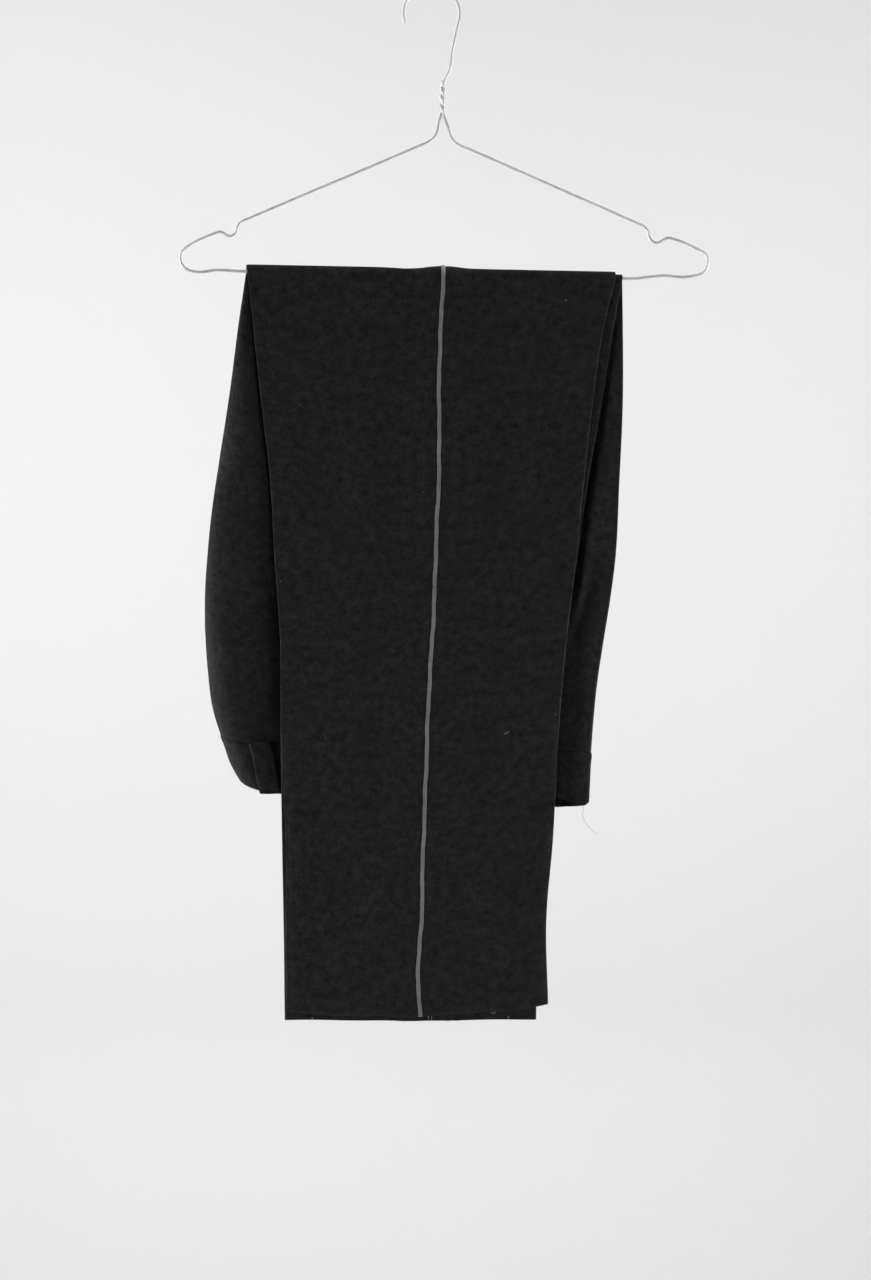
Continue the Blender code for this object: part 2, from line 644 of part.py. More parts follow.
def hanger():
    """The notched wire hanger, one wire from its hook through the twist and round the frame and back
    into the twist, in four nodes: hook and stem, right arm, bar, left arm."""
    a = np.radians(np.linspace(HOOK_START, HOOK_STOP, HOOK_STEPS))
    centre = np.array([HOOK_CENTRE_X, 0, WIRE_RADIUS - HOOK_RADIUS])
    arc = (centre + HOOK_RADIUS * np.column_stack([np.cos(a), 0 * a, np.sin(a)])) / MM
    frame = flat_route(RIGHT_ARM + RIGHT_END + LEFT_END[::-1] + LEFT_ARM[::-1])
    line = np.vstack([arc, flat_route(STEM, 5), strand(0.0), frame, strand(math.pi)[::-1]])
    hook, line = split(line, STEM[-2])
    arm_right, line = split(line, RIGHT_ARM[-1])
    bar, arm_left = split(line, LEFT_ARM[-1])
    wires = {"hook_wire": hook, "arm_right": arm_right, "bar_wire": bar, "arm_left": arm_left}
    for name, points in wires.items():
        wire(name, points)


panels()
waistbands()
fly()
hanger()
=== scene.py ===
# %% [markdown]
# # Wool uniform trousers, folded over a wire hanger
# The real thing is heavy dark wool: four panels, a grey piping let into each side seam, a waistband
# with belt loops, and hems turned up on the inside. Pressed creases fold each leg flat. The pair hangs
# leg on leg over the bar of a notched wire hanger, the legs in front, the seat and waist behind.
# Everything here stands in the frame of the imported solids, in metres, with +Z up, the camera on the
# -Y side and the origin at the inner top of the hook.

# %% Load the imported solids
import math
from functools import partial

import bpy
import numpy as np
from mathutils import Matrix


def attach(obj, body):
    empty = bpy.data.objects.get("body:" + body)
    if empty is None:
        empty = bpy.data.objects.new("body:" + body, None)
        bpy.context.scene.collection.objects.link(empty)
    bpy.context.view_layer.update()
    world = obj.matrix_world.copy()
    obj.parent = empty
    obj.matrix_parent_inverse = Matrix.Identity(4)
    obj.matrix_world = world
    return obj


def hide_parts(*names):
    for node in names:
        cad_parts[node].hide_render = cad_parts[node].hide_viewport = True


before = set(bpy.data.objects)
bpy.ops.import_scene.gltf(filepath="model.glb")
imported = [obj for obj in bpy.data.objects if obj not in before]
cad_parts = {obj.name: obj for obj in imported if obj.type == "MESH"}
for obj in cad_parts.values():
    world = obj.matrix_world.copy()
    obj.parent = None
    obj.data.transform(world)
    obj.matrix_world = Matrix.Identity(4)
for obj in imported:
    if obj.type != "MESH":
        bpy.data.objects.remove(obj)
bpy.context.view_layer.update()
MM = 0.001

# %% [markdown]
# ## Camera
# The photograph is taken level, from straight in front. One pixel at the plane of the front cloth is
# 0.78 mm, and the perspective of the rear layers fits a distance of 2 m. A short function turns a
# pixel of the photograph into a place on that plane, for the few things that are given as pixels.

# %% A level camera two metres in front of the cloth
PIXEL = 0.78 * MM
FRONT_PLANE = -6.5 * MM
DISTANCE = 2.0
PHOTO_SIZE = (871, 1280)
ORIGIN_PIXEL = (432.0, -15.0)
SENSOR = 36


def from_pixel(u, v):
    """X and Z of a pixel on the front plane: its offset from the origin's pixel times a pixel's size."""
    return (u - ORIGIN_PIXEL[0]) * PIXEL, (ORIGIN_PIXEL[1] - v) * PIXEL


middle_x, middle_z = from_pixel(PHOTO_SIZE[0] / 2, PHOTO_SIZE[1] / 2)
lens = bpy.data.cameras.new("camera")
lens.sensor_fit = "VERTICAL"
lens.sensor_height = SENSOR
lens.lens = SENSOR * DISTANCE / (PHOTO_SIZE[1] * PIXEL)
lens.clip_end = 30
camera = bpy.data.objects.new("camera", lens)
camera.location = (middle_x, FRONT_PLANE - DISTANCE, middle_z)
camera.rotation_euler = (math.radians(90), 0, 0)
bpy.context.scene.collection.objects.link(camera)
bpy.context.scene.camera = camera
print("lens", round(lens.lens, 1), "mm at", [round(c, 3) for c in camera.location])

# %% [markdown]
# ## Meshes from grids of points
# Cloth, wire, stitches and button are all surfaces over two parameters. So one helper makes the faces
# between a grid of points, rows by columns. The runs along its rows and columns become the UV map in
# metres, so that a weave follows the cloth and not the room. Solidify gives a cloth its wall inwards.

# %% Helpers for grids, cloth walls and swept lines
RIM_ANGLE = 55


def unit(vectors):
    """Vectors divided by their own lengths."""
    return vectors / np.linalg.norm(vectors, axis=-1, keepdims=True)


def runs(points, axis):
    """Distance along one axis of a grid from its start: the running sum of the steps' lengths."""
    step = np.linalg.norm(np.diff(points, axis=axis), axis=2)
    first = np.zeros_like(np.take(step, [0], axis=axis))
    return np.cumsum(np.concatenate([first, step], axis=axis), axis=axis)


def grid_faces(rows, columns, around=False, first=0):
    """A grid's faces: each point, its right neighbour, the one above that and the one above itself."""
    index = first + np.arange(rows * columns).reshape(rows, columns)
    if around:
        index = np.hstack([index, index[:, :1]])
    corners = np.stack([index[:-1, :-1], index[:-1, 1:], index[1:, 1:], index[1:, :-1]], axis=-1)
    return corners.reshape(-1, 4)


def mesh_object(name, points, faces, material, uv=None, rides=True):
    """A smooth mesh object from arrays, with its UV map in metres if it has one, on the only body."""
    mesh = bpy.data.meshes.new(name)
    mesh.from_pydata(points.tolist(), [], faces if isinstance(faces, list) else faces.tolist())
    if uv is not None:
        layer = mesh.uv_layers.new(name="cloth")
        corner = np.empty(len(mesh.loops), np.int32)
        mesh.loops.foreach_get("vertex_index", corner)
        layer.data.foreach_set("uv", uv[corner].astype(np.float32).ravel())
    mesh.shade_smooth()
    mesh.materials.append(material)
    piece = bpy.data.objects.new(name, mesh)
    bpy.context.scene.collection.objects.link(piece)
    if rides:
        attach(piece, "root")
    return piece


def cloth_piece(node, name, points, outward, wall, material, shares=None, rim=0.4 * MM):
    """A cloth wall inwards from a grid of its outer face, which stands for a node of the solids.

    outward is -1 where the grid runs the other way round, shares thins the wall row by row, and the
    rim bevels its cut or folded edges.
    """
    rows, columns = points.shape[:2]
    faces = grid_faces(rows, columns)[:, ::outward]
    uv = np.stack([runs(points, 1), runs(points, 0)], axis=-1).reshape(-1, 2)
    piece = mesh_object(name, points.reshape(-1, 3), faces, material, uv)
    shell = piece.modifiers.new("wall", "SOLIDIFY")
    shell.thickness = wall
    shell.offset = -1
    shell.use_even_offset = True
    if shares is not None:
        group = piece.vertex_groups.new(name="wall_share")
        for weight in np.unique(shares):
            marked = np.flatnonzero(np.repeat(shares == weight, columns))
            group.add(marked.tolist(), float(weight), "REPLACE")
        shell.vertex_group = group.name
        shell.thickness_vertex_group = 0.0
    edge = piece.modifiers.new("rim", "BEVEL")
    edge.width = rim
    edge.segments = 2
    edge.limit_method = "ANGLE"
    edge.angle_limit = math.radians(RIM_ANGLE)
    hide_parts(node)
    return piece


def closed_faces(rows, sides, first=0):
    """Faces round a stack of rings, with its first and its last ring closed."""
    after = first + rows * sides
    ends = [list(range(first, first + sides))[::-1], list(range(after - sides, after))]
    return grid_faces(rows, sides, True, first).tolist() + ends


def swept(lines, radii, ups, sides):
    """Points and faces of circles carried along lines: the cosine goes across, the sine square to it."""
    angle = 2 * math.pi * np.arange(sides)[:, None] / sides
    points, faces, first = [], [], 0
    for line, radius, up in zip(lines, radii, ups):
        heading = unit(np.gradient(line, axis=0))
        across = unit(np.cross(heading, up))
        other = np.cross(across, heading)
        ring = across[:, None] * np.cos(angle) + other[:, None] * np.sin(angle)
        points.append((line[:, None] + ring * np.reshape(radius, (-1, 1, 1))).reshape(-1, 3))
        faces += closed_faces(len(line), sides, first)
        first += len(points[-1])
    return np.vstack(points), faces


print("grid helpers ready")

# %% [markdown]
# ## The hanging form as short tables
# Gravity and the presser's iron give the outline: each row of a table is one level below the bar,
# with where the left crease, the right crease and the side seam stand there. A smooth curve through
# the rows gives every level between. The same tables shape the solids, so the dressed cloth lies
# where they are. Behind the bar a second table says how deep the layers are and how they open.

# %% Tables of the legs, the body and its depth
WALL = 0.9 * MM
HEM_WALL = 1.9 * MM
HEM_HEIGHT = 65 * MM
HALF_GAP = 0.06 * MM
PIPING_WIDTH = 3.1 * MM
PIPING_PROUD = 0.85 * MM
WIRE_RADIUS = 1.15 * MM
BAR_Z = -225.2 * MM
BAR_SLOPE = -0.02
HEM_FALL = 578 * MM
HEM_TOP = HEM_FALL - HEM_HEIGHT
WAIST_FALL = 409 * MM
BAND_HEIGHT = 38.5 * MM
CROTCH_FALL = 155 * MM
BAR_CLEARANCE = WIRE_RADIUS + 0.1 * MM


def table(columns, rows):
    """Rows of numbers in millimetres as named columns in metres."""
    return dict(zip(columns.split(), np.array(rows, float).T * MM))


def cubic(t, start, end, leaving, arriving):
    """A cubic at shares t from start to end: each end and each end's slope times its own cubic of t."""
    return (
        (1 + 2 * t) * (1 - t) ** 2 * start + t * (1 - t) ** 2 * leaving
        + t * t * (3 - 2 * t) * end + t * t * (t - 1) * arriving
    )


def read(columns, name, fall):
    """A column of a table at these falls: a cubic between rows whose slopes are the mean of both sides."""
    x, y = columns["fall"], columns[name]
    slope = np.gradient(y, x)
    i = np.clip(np.searchsorted(x, fall) - 1, 0, len(x) - 2)
    step = x[i + 1] - x[i]
    t = np.clip((fall - x[i]) / step, 0, 1)
    return cubic(t, y[i], y[i + 1], step * slope[i], step * slope[i + 1])


LEGS = {
    "right": table("fall left right seam thick", [
        (0, -144.3, 143.5, 9.0, 2.0),
        (36, -140.4, 134.9, 7.3, 2.3),
        (98, -133.8, 125.8, 5.3, 2.6),
        (161, -126.4, 118.9, 5.4, 2.9),
        (223, -122.9, 112.8, 2.7, 3.1),
        (286, -118.6, 105.5, 0.1, 3.2),
        (364, -117.8, 98.8, -4.1, 3.4),
        (450, -113.9, 94.2, -6.6, 3.8),
        (510, -113.9, 89.2, -9.0, 5.1),
        (578, -113.1, 90.5, -8.7, 5.1),
    ]),
    "left": table("fall left right seam thick", [
        (0, -144.7, 149.0, 7.5, 2.0),
        (36, -138.4, 142.4, 6.0, 2.3),
        (98, -132.6, 132.6, 4.0, 2.6),
        (161, -125.6, 121.7, 3.5, 2.9),
        (223, -121.7, 113.1, 1.0, 3.1),
        (286, -118.4, 103.0, -2.0, 3.2),
        (364, -118.2, 93.6, -6.5, 3.4),
        (450, -117.0, 86.6, -8.0, 3.8),
        (510, -115.8, 82.7, -7.0, 5.1),
        (578, -115.0, 81.3, -3.0, 5.1),
    ]),
}
BODY = table("fall left right seam", [
    (0, -145.6, 149.0, 7.5),
    (35, -150.8, 149.3, 6.0),
    (97, -159.1, 149.3, 5.0),
    (159, -169.0, 146.7, 5.0),
    (222, -177.5, 143.3, 9.0),
    (254, -180.0, 139.2, 12.0),
    (286, -179.6, 134.3, 15.0),
    (318, -177.6, 129.6, 17.0),
    (349, -173.8, 126.5, 18.5),
    (381, -164.3, 124.3, 19.5),
    (397, -159.0, 123.5, 20.0),
    (409, -152.8, 122.9, 20.0),
])
DEPTH = table("fall near half turn crease bend forward crest beside", [
    (0, 1.25, 2.06, 1.0, 1.06, 1.0, 0, 0, 0),
    (35, 2.0, 4.2, 6, 1.4, 1.15, 4, 1.2, 2.5),
    (97, 2.7, 9, 22, 1.7, 1.35, 7.5, 3.2, 5.5),
    (155, 3.2, 14, 36, 2.4, 1.6, 9, 5, 5.5),
    (222, 4.0, 22, 46, 5.0, 2.4, 15.5, 5.2, 3.5),
    (254, 4.2, 24.5, 45, 6.7, 2.8, 15.4, 4.2, 2),
    (286, 4.5, 27, 43, 8.5, 3.2, 14.3, 2.6, 1),
    (349, 5.0, 28, 40, 11, 3.8, 12.4, 3.3, 0.5),
    (409, 6.0, 27, 38, 13, 4.2, 11, 2.6, 0),
])
print("legs fall", HEM_FALL, "m and the body", WAIST_FALL, "m below the bar")

# %% [markdown]
# ## Smooth steps, bells and waves
# All that is soft in the cloth starts and ends somewhere. One table names these places: each row is a
# smooth step, with where it starts and how long it takes, in millimetres. A bell makes a single bump
# and a sum of sines makes drags and sways. A brush could sculpt them, but would leave nothing to read.

# %% Named steps, bells and waves
RAMPS = {
    "allowance ends": (11, 4),
    "sway below bar": (0, 90),
    "pressed from edge": (-12, 14),
    "pressed to edge": (-5, 6),
    "pressed below bar": (0, 70),
    "seat starts": (190, 90),
    "seat ends": (335, 45),
    "seat side": (-20, 80),
    "crest widens": (255, 50),
    "beside widens": (0, 120),
    "beside at seat": (170, 80),
    "relief from turn": (0, 45),
    "relief to crease": (0, 14),
    "relief below bar": (50, 90),
    "relief above band": (330, 45),
    "edges loosen": (330, 50),
    "seam wanders": (0, 20),
    "crease eases": (60, 100),
    "upper hip ends": (110, 160),
    "mouth opens": (383, 24),
    "front sags": (85, 40),
    "corner lifts": (-3.2, 3.2),
    "mouth lifts": (20, 50),
    "mouth lift ends": (92, 26),
    "shield passes band": (366.5, 3),
    "loop stands": (3, 8),
}


def rising(t):
    """A smooth step: 0 below 0, 1 above 1, and three squares less two cubes between."""
    t = np.clip(t, 0, 1)
    return t * t * (3 - 2 * t)


def ramp(name, value):
    """A named smooth step at a value in metres."""
    start, length = RAMPS[name]
    return rising((value - start * MM) / (length * MM))


def bell(offset, width):
    """A smooth bump: 1 at offset 0, falling to 0.37 at one width."""
    return np.exp(-((offset / width) ** 2))


def wave(position, length, phase):
    """A sine of this wave length along a position."""
    return np.sin(2 * math.pi * position / length + phase)


def waves(rows, x, along):
    """A sum of sines, by rows of height and wave length in mm, phase, share of x and share of along."""
    return sum(h * MM * wave(a * x + b * along, length * MM, phase) for h, length, phase, a, b in rows)


print("named steps", len(RAMPS))

# %% [markdown]
# ## Soft relief
# Pressed wool is never a flat plate. Under the side seam lie two pressed allowances, which lift the
# cloth by a quarter of a millimetre over 11 mm each side; the seam itself pulls it down into a ditch
# and puckers it a little. The legs sway together by half a millimetre in long waves. Behind the bar
# the legs press the nearest hip back, it stands forward beside them, and a slanting trough and soft
# drags run down it. Each of these is one height over a face.

# %% Heights added to the outer faces
ALLOWANCE_LIFT = 0.22 * MM
DITCH = 0.4 * MM
DITCH_WIDTH = 0.9 * MM
PUCKER = 0.13 * MM
PUCKER_WIDTH = 6 * MM
PUCKER_LENGTH = 13.7 * MM
PUCKER_SHIFT = [(1.7 / MM, 97, 0.4, 0, 1)]
SWAY = [(0.4, 118, 0.9, 1, 0.25), (0.28, 171, 2.2, 0.5, 1)]
SMALL_SWAY = [(0.14, 61, 1.3, 1, -0.4)]
PRESSED = {"legs": 0.8 * MM, "seat": 2.8 * MM}
FORWARD_START = -125 * MM
CREST_OFFSET = 0.5 * MM
CREST_WIDTH = (7.5 * MM, 13 * MM)
BESIDE_WIDTH = (3 * MM, 4 * MM, 6 * MM)
BESIDE_REACH = 0.55
TROUGH = {
    "left": {"x": 128.5, "drop": 217, "slope": 0.26, "deep": 4.4, "before": 3.2, "after": 9, "middle": 252,
             "reach": 30, "ridge": 0.6},
    "right": {"x": 62, "drop": 240, "slope": 0.5, "deep": 1.6, "before": 13, "after": 13, "middle": 240,
              "reach": 60, "ridge": 0},
}
RIDGE_OFFSET = 8 * MM
RIDGE_WIDTH = 4 * MM
DRAGS = {
    "left": [(0.30, 96, 1.0, 0.9, 1), (0.24, 63, 2.6, -0.6, 1)],
    "right": [(0.72, 104, 0.2, 0.8, 1), (0.48, 71, 1.9, -0.5, 1)],
}
BAND_CALM = 0.6
RELIEF_FROM_TURN = 0.4


def seam_relief(m, x):
    """Allowance ridge plus pucker less the ditch, by distance from the piping's edge."""
    from_edge = np.maximum(np.abs(x - m["seam"]) - PIPING_WIDTH / 2, 0)
    ridge = ALLOWANCE_LIFT * (1 - ramp("allowance ends", from_edge))
    pull = wave(m["fall"], PUCKER_LENGTH, waves(PUCKER_SHIFT, 0, m["fall"]))
    pucker = PUCKER * pull * np.exp(-from_edge / PUCKER_WIDTH)
    return ridge + pucker - DITCH * np.exp(-from_edge / DITCH_WIDTH)


def leg_sway(x, fall):
    """Half a millimetre of long waves that both legs share in front of the bar, none at the bar itself."""
    down = -np.minimum(fall, 0)
    small = waves(SMALL_SWAY, x, down) * wave(down, 83 * MM, 0.6)
    return ramp("sway below bar", down) * (waves(SWAY, x, down) + small)


def leg_edges(drop):
    """The left and the right edge of both legs at this level, whichever leg reaches further."""
    first = np.minimum(*(read(leg, "left", drop) for leg in LEGS.values()))
    last = np.maximum(*(read(leg, "right", drop) for leg in LEGS.values()))
    return first, last


def pressed_back(m, x):
    """How far the legs press the left hip back: all of it behind them, fading out past both their edges."""
    drop = np.maximum(m["fall"], 0)
    first, last = leg_edges(drop)
    covered = ramp("pressed from edge", x - first) * ramp("pressed to edge", last - x)
    seat = ramp("seat starts", drop) * (1 - ramp("seat ends", drop)) * ramp("seat side", -x)
    depth = PRESSED["legs"] * ramp("pressed below bar", drop) + PRESSED["seat"] * seat
    return depth * covered * m["behind"] * (m["side"] == "left")


def hip_lean(x, drop):
    """How far the hips lean to the camera: slowly up to the legs' front edge, then in one step beyond."""
    first, last = leg_edges(drop)
    slow = np.clip((x - FORWARD_START) / (last - FORWARD_START), 0, 1) ** 3
    crest_width = CREST_WIDTH[0] + CREST_WIDTH[1] * ramp("crest widens", drop)
    crest = rising((x - last - CREST_OFFSET) / crest_width)
    least, lower, seat = BESIDE_WIDTH
    width = least + lower * ramp("beside widens", drop) + seat * ramp("beside at seat", drop)
    beside = rising((first + BESIDE_REACH * width - x) / width)
    shares = {"forward": slow, "crest": crest, "beside": beside}
    return sum(read(DEPTH, name, drop) * share for name, share in shares.items())


def hip_relief(m, x):
    """A slanting trough with a ridge before it, and drags, faded out at the bar, the creases and the turn."""
    drop = np.maximum(m["fall"], 0)
    from_turn = x - m["left"] - RELIEF_FROM_TURN * m["turn"]
    fade = ramp("relief below bar", drop) * ramp("relief from turn", from_turn)
    to_crease = ramp("relief to crease", m["right"] - m["bend"] - x)
    above_band = 1 - BAND_CALM * ramp("relief above band", drop)
    fold = {key: value * MM for key, value in TROUGH[m["side"]].items()}
    from_line = x - fold["x"] + (drop - fold["drop"]) * TROUGH[m["side"]]["slope"]
    width = np.where(from_line < 0, fold["before"], fold["after"])
    ridge = fold["ridge"] * bell(from_line + RIDGE_OFFSET, RIDGE_WIDTH)
    trough = (ridge - fold["deep"] * bell(from_line, width)) * bell(drop - fold["middle"], fold["reach"])
    drags = waves(DRAGS[m["side"]], x, drop) * to_crease * above_band
    return fade * (trough * to_crease**0.5 + drags) * m["behind"] - pressed_back(m, x)


print("relief ready")

# %% [markdown]
# ## One section of the garment
# Cut the hanging pair at any level and each side shows a flattened loop: an outer layer, a crease at
# each end, and an inner layer up to the inseam. Past the crotch the inner layers part: the centre
# front folds in between the hips as a tuck, and the back crease opens into one round turn over the
# seat. The functions below give these columns at every row at once. They are the solids' own
# functions with many more columns, a softer surface and a seam that wanders like a sewn one.

# %% Measures of each row
FRONT_FORK = 50 * MM
FRONT_FORK_FADE = 14 * MM
BACK_FORK = 68 * MM
BACK_FORK_FADE = 22 * MM
INSEAM_SHIFT = -14 * MM
INSEAM_FLAT = 3 * MM
FORK_OPENING = 4 * MM
SEAT_SPAN = 125 * MM
SEAT_CREASE = 72
TUCK_BEND = 5 * MM
TURN_FULLNESS = 0.55
UPPER_ROUNDNESS = 0.42
EVEN_TURN = 0.8
STRAIGHT_END = 1.2 * MM
CREASE_SHIFT = {"left": 0.0, "right": -3 * MM}
TIP_DEPTH = 1.1 * MM
TIP_RISE = 5 * MM
TIP_SPAN = 50 * MM
CREASE_FADE = 25 * MM
EDGE_FALL = 1.4 * MM
EDGE_LEAST = 0.25
EDGE_SPAN = 4 * MM
CREASE_EASE = 0.45
CREASE_SPAN = 12 * MM
HEM_STEP = 2.6 * MM
HEM_ROLL = 1.5 * MM
HEM_ROLL_HEIGHT = 1.8 * MM
WANDER = {
    "left": [(0.22, 53, 0.0, 0, 1), (0.14, 23.5, 0.0, 0, 1), (0.3, 131, 1, 0, 1)],
    "right": [(0.22, 53, 2.4, 0, 1), (0.14, 23.5, 4.8, 0, 1), (0.3, 131, 1, 0, 1)],
}
SEAM_BENDS = {"left": [], "right": [(-2.1, 543, 21), (0.8, 500, 13)]}


def hem_share(down):
    """How far the wall has grown to the turned-up hem's: a quick smooth step at its top edge."""
    return rising((down - HEM_TOP) / HEM_STEP + 1)


def section(side, angle, fall):
    """The measures of each row of a side as columns; depth counts from the middle plane outwards."""
    leg = LEGS[side]
    shift = CREASE_SHIFT[side]
    behind = (angle > math.pi / 2) & (fall >= 0)
    down = -np.minimum(fall, 0)
    drop = np.maximum(fall, 0)
    thick = read(leg, "thick", down)
    m = {"fall": fall, "behind": behind, "side": side}
    for name in ("left", "right", "seam"):
        m[name] = np.where(behind, read(BODY, name, drop), read(leg, name, down))
    start = read(leg, "right", 0.0) - read(BODY, "right", 0.0) - shift
    m["right"] = m["right"] + np.where(behind, shift + start * np.exp(-drop / CREASE_FADE), 0)
    walls = 2 * (WALL + (HEM_WALL - WALL) * hem_share(down))
    loose = EDGE_LEAST + (1 - EDGE_LEAST) * ramp("edges loosen", down)
    m["fall_off"] = np.where(behind, 0, np.clip(thick - walls - 2 * HALF_GAP, 0, EDGE_FALL * loose))
    pressed = (thick - m["fall_off"]) / 2
    depth = {name: read(DEPTH, name, drop) for name in ("near", "half", "crease", "bend", "turn")}
    m["out"] = np.where(behind, depth["half"], HALF_GAP + thick)
    m["crease"] = np.where(behind, depth["crease"], HALF_GAP + pressed)
    m["bend"] = np.where(behind, depth["bend"], pressed)
    m["turn"] = np.where(behind, depth["turn"], pressed)
    m["middle"] = np.where(behind, depth["near"] + depth["half"], BAR_CLEARANCE + thick + HALF_GAP)
    past = np.maximum(drop - CROTCH_FALL, 0)
    inseam = m["seam"] + INSEAM_SHIFT * rising(drop / CROTCH_FALL)
    at_crotch = {name: read(BODY, name, CROTCH_FALL) for name in ("left", "right", "seam")}
    fork = at_crotch["seam"] + INSEAM_SHIFT
    front_inset = at_crotch["right"] + shift - fork - FRONT_FORK * (1 - np.exp(-past / FRONT_FORK_FADE))
    back_inset = fork - at_crotch["left"] - BACK_FORK * (1 - np.exp(-past / BACK_FORK_FADE))
    m["open"] = 1 - np.exp(-past / FORK_OPENING)
    m["seated"] = rising(past / SEAT_SPAN)
    m["apex"] = HALF_GAP + (TUCK_BEND - HALF_GAP) * (1 - np.exp(-past / FRONT_FORK_FADE))
    m["front_end"] = np.where(past > 0, m["right"] - front_inset, inseam)
    m["back_end"] = np.where(past > 0, m["left"] + back_inset, inseam)
    at_rest = HALF_GAP + np.where(behind, TIP_DEPTH, pressed)
    m["tip"] = np.where(past > 0, m["apex"] + TIP_DEPTH + TIP_RISE * rising(past / TIP_SPAN), at_rest)
    bends = sum(height * MM * bell(down - at * MM, width * MM) for height, at, width in SEAM_BENDS[side])
    m["seam"] = m["seam"] + (waves(WANDER[side], 0, fall) + bends) * ramp("seam wanders", np.abs(fall))
    return m


def outer_depth(m, x):
    """The outer face's depth at x: level from the back turn on, then falling by a square to the front crease.

    A pressed leg is a flat lens instead: level, with both edges falling off by an exponential.
    """
    flat = m["left"] + m["turn"]
    end = m["right"] - m["bend"]
    t = np.clip((x - flat) / (end - flat), 0, 1)
    from_edge = np.clip(np.minimum(x - flat, end - x), 0, None)
    roll = HEM_ROLL * np.exp(-(HEM_FALL + m["fall"]) / HEM_ROLL_HEIGHT)
    eased = CREASE_EASE * m["bend"] * ramp("crease eases", m["fall"]) * m["behind"]
    level = m["out"] - m["fall_off"] * np.exp(-from_edge / EDGE_SPAN) - roll
    level = level - eased * np.exp(-np.clip(end - x, 0, None) / CREASE_SPAN)
    return level - (m["out"] - m["crease"] - m["bend"] - m["fall_off"]) * t * t


def outer_face(m, x, seamed=True):
    """The outer depth with its soft relief; a waistband has no side seam ridge."""
    return outer_depth(m, x) + hip_relief(m, x) + (seam_relief(m, x) if seamed else 0)


print("seam at the hem", round(float(read(LEGS["right"], "seam", HEM_FALL)) * 1000, 1), "mm")

# %% [markdown]
# ## Columns across a panel
# A front runs from the side seam over the front crease to the inseam or the centre front; a back
# runs the other way. Columns crowd at the seam and round the creases, where the cloth bends within
# millimetres, and stand wide on the flats. That spends faces where an edge catches the light.

# %% Fronts and backs as columns of x and depth
CREASE_STEPS = 14
TURN_STEPS = 26
TIP_STEPS = 8
FRONT_STEPS = 14
BACK_STEPS = 12
END_STEPS = 6


def crowded(count, power=1.5):
    """Shares from 0 to 1 that crowd at 0: an even count raised to a power."""
    return (np.arange(count) / (count - 1)) ** power


def steps(count):
    """Even shares after 0 up to 1."""
    return np.arange(1, count + 1) / count


FACE = np.concatenate([
    crowded(13, 1.7) * 0.14, np.linspace(0.14, 0.66, 11)[1:], np.linspace(0.66, 1, 31)[1:]
])


def turn_angles(last):
    """Angles of a turn: even steps across up to EVEN_TURN of it, then even angles to the last degree."""
    half = TURN_STEPS // 2
    first = np.arcsin((EVEN_TURN * steps(half)) ** (1 / TURN_FULLNESS))
    return np.append(first, np.linspace(first[-1], np.radians(last), TURN_STEPS - half + 1)[1:])


def end_piece(m, edge, toward):
    """The last columns: flat at the inseam, or a quarter turn to the middle plane at a centre seam."""
    t = np.arange(0, END_STEPS + 1) / END_STEPS
    flat_x = edge + toward * (HALF_GAP + INSEAM_FLAT * (1 - t))
    a = np.radians(90) * t
    round_x = edge + toward * m["apex"] * (1 - np.sin(a))
    round_depth = np.maximum(m["apex"] * np.cos(a), HALF_GAP)
    x = flat_x + (round_x - flat_x) * m["open"]
    return x, HALF_GAP + (round_depth - HALF_GAP) * m["open"]


def front_section(m, seamed=True):
    """A front: the outer face to the crease, a half circle round it, straight to the end piece."""
    start = m["seam"] + PIPING_WIDTH / 2 + HALF_GAP
    stop = m["right"] - m["bend"]
    x1 = start + (stop - start) * FACE
    d1 = outer_face(m, x1, seamed)
    a = np.radians(180) * steps(CREASE_STEPS)
    top = d1[:, -1:] - m["crease"]
    x2 = stop + m["bend"] * np.sin(a)
    d2 = m["crease"] + np.where(np.cos(a) > 0, top, m["bend"]) * np.cos(a)
    x4, d4 = end_piece(m, m["front_end"], 1)
    t = np.arange(1, FRONT_STEPS + 1) / (FRONT_STEPS + 1)
    x3 = stop + (x4[:, :1] - stop) * t
    d3 = m["crease"] - m["bend"] + (d4[:, :1] - m["crease"] + m["bend"]) * t
    return np.hstack([x1, x2, x3, x4]), np.hstack([d1, d2, d3, d4])


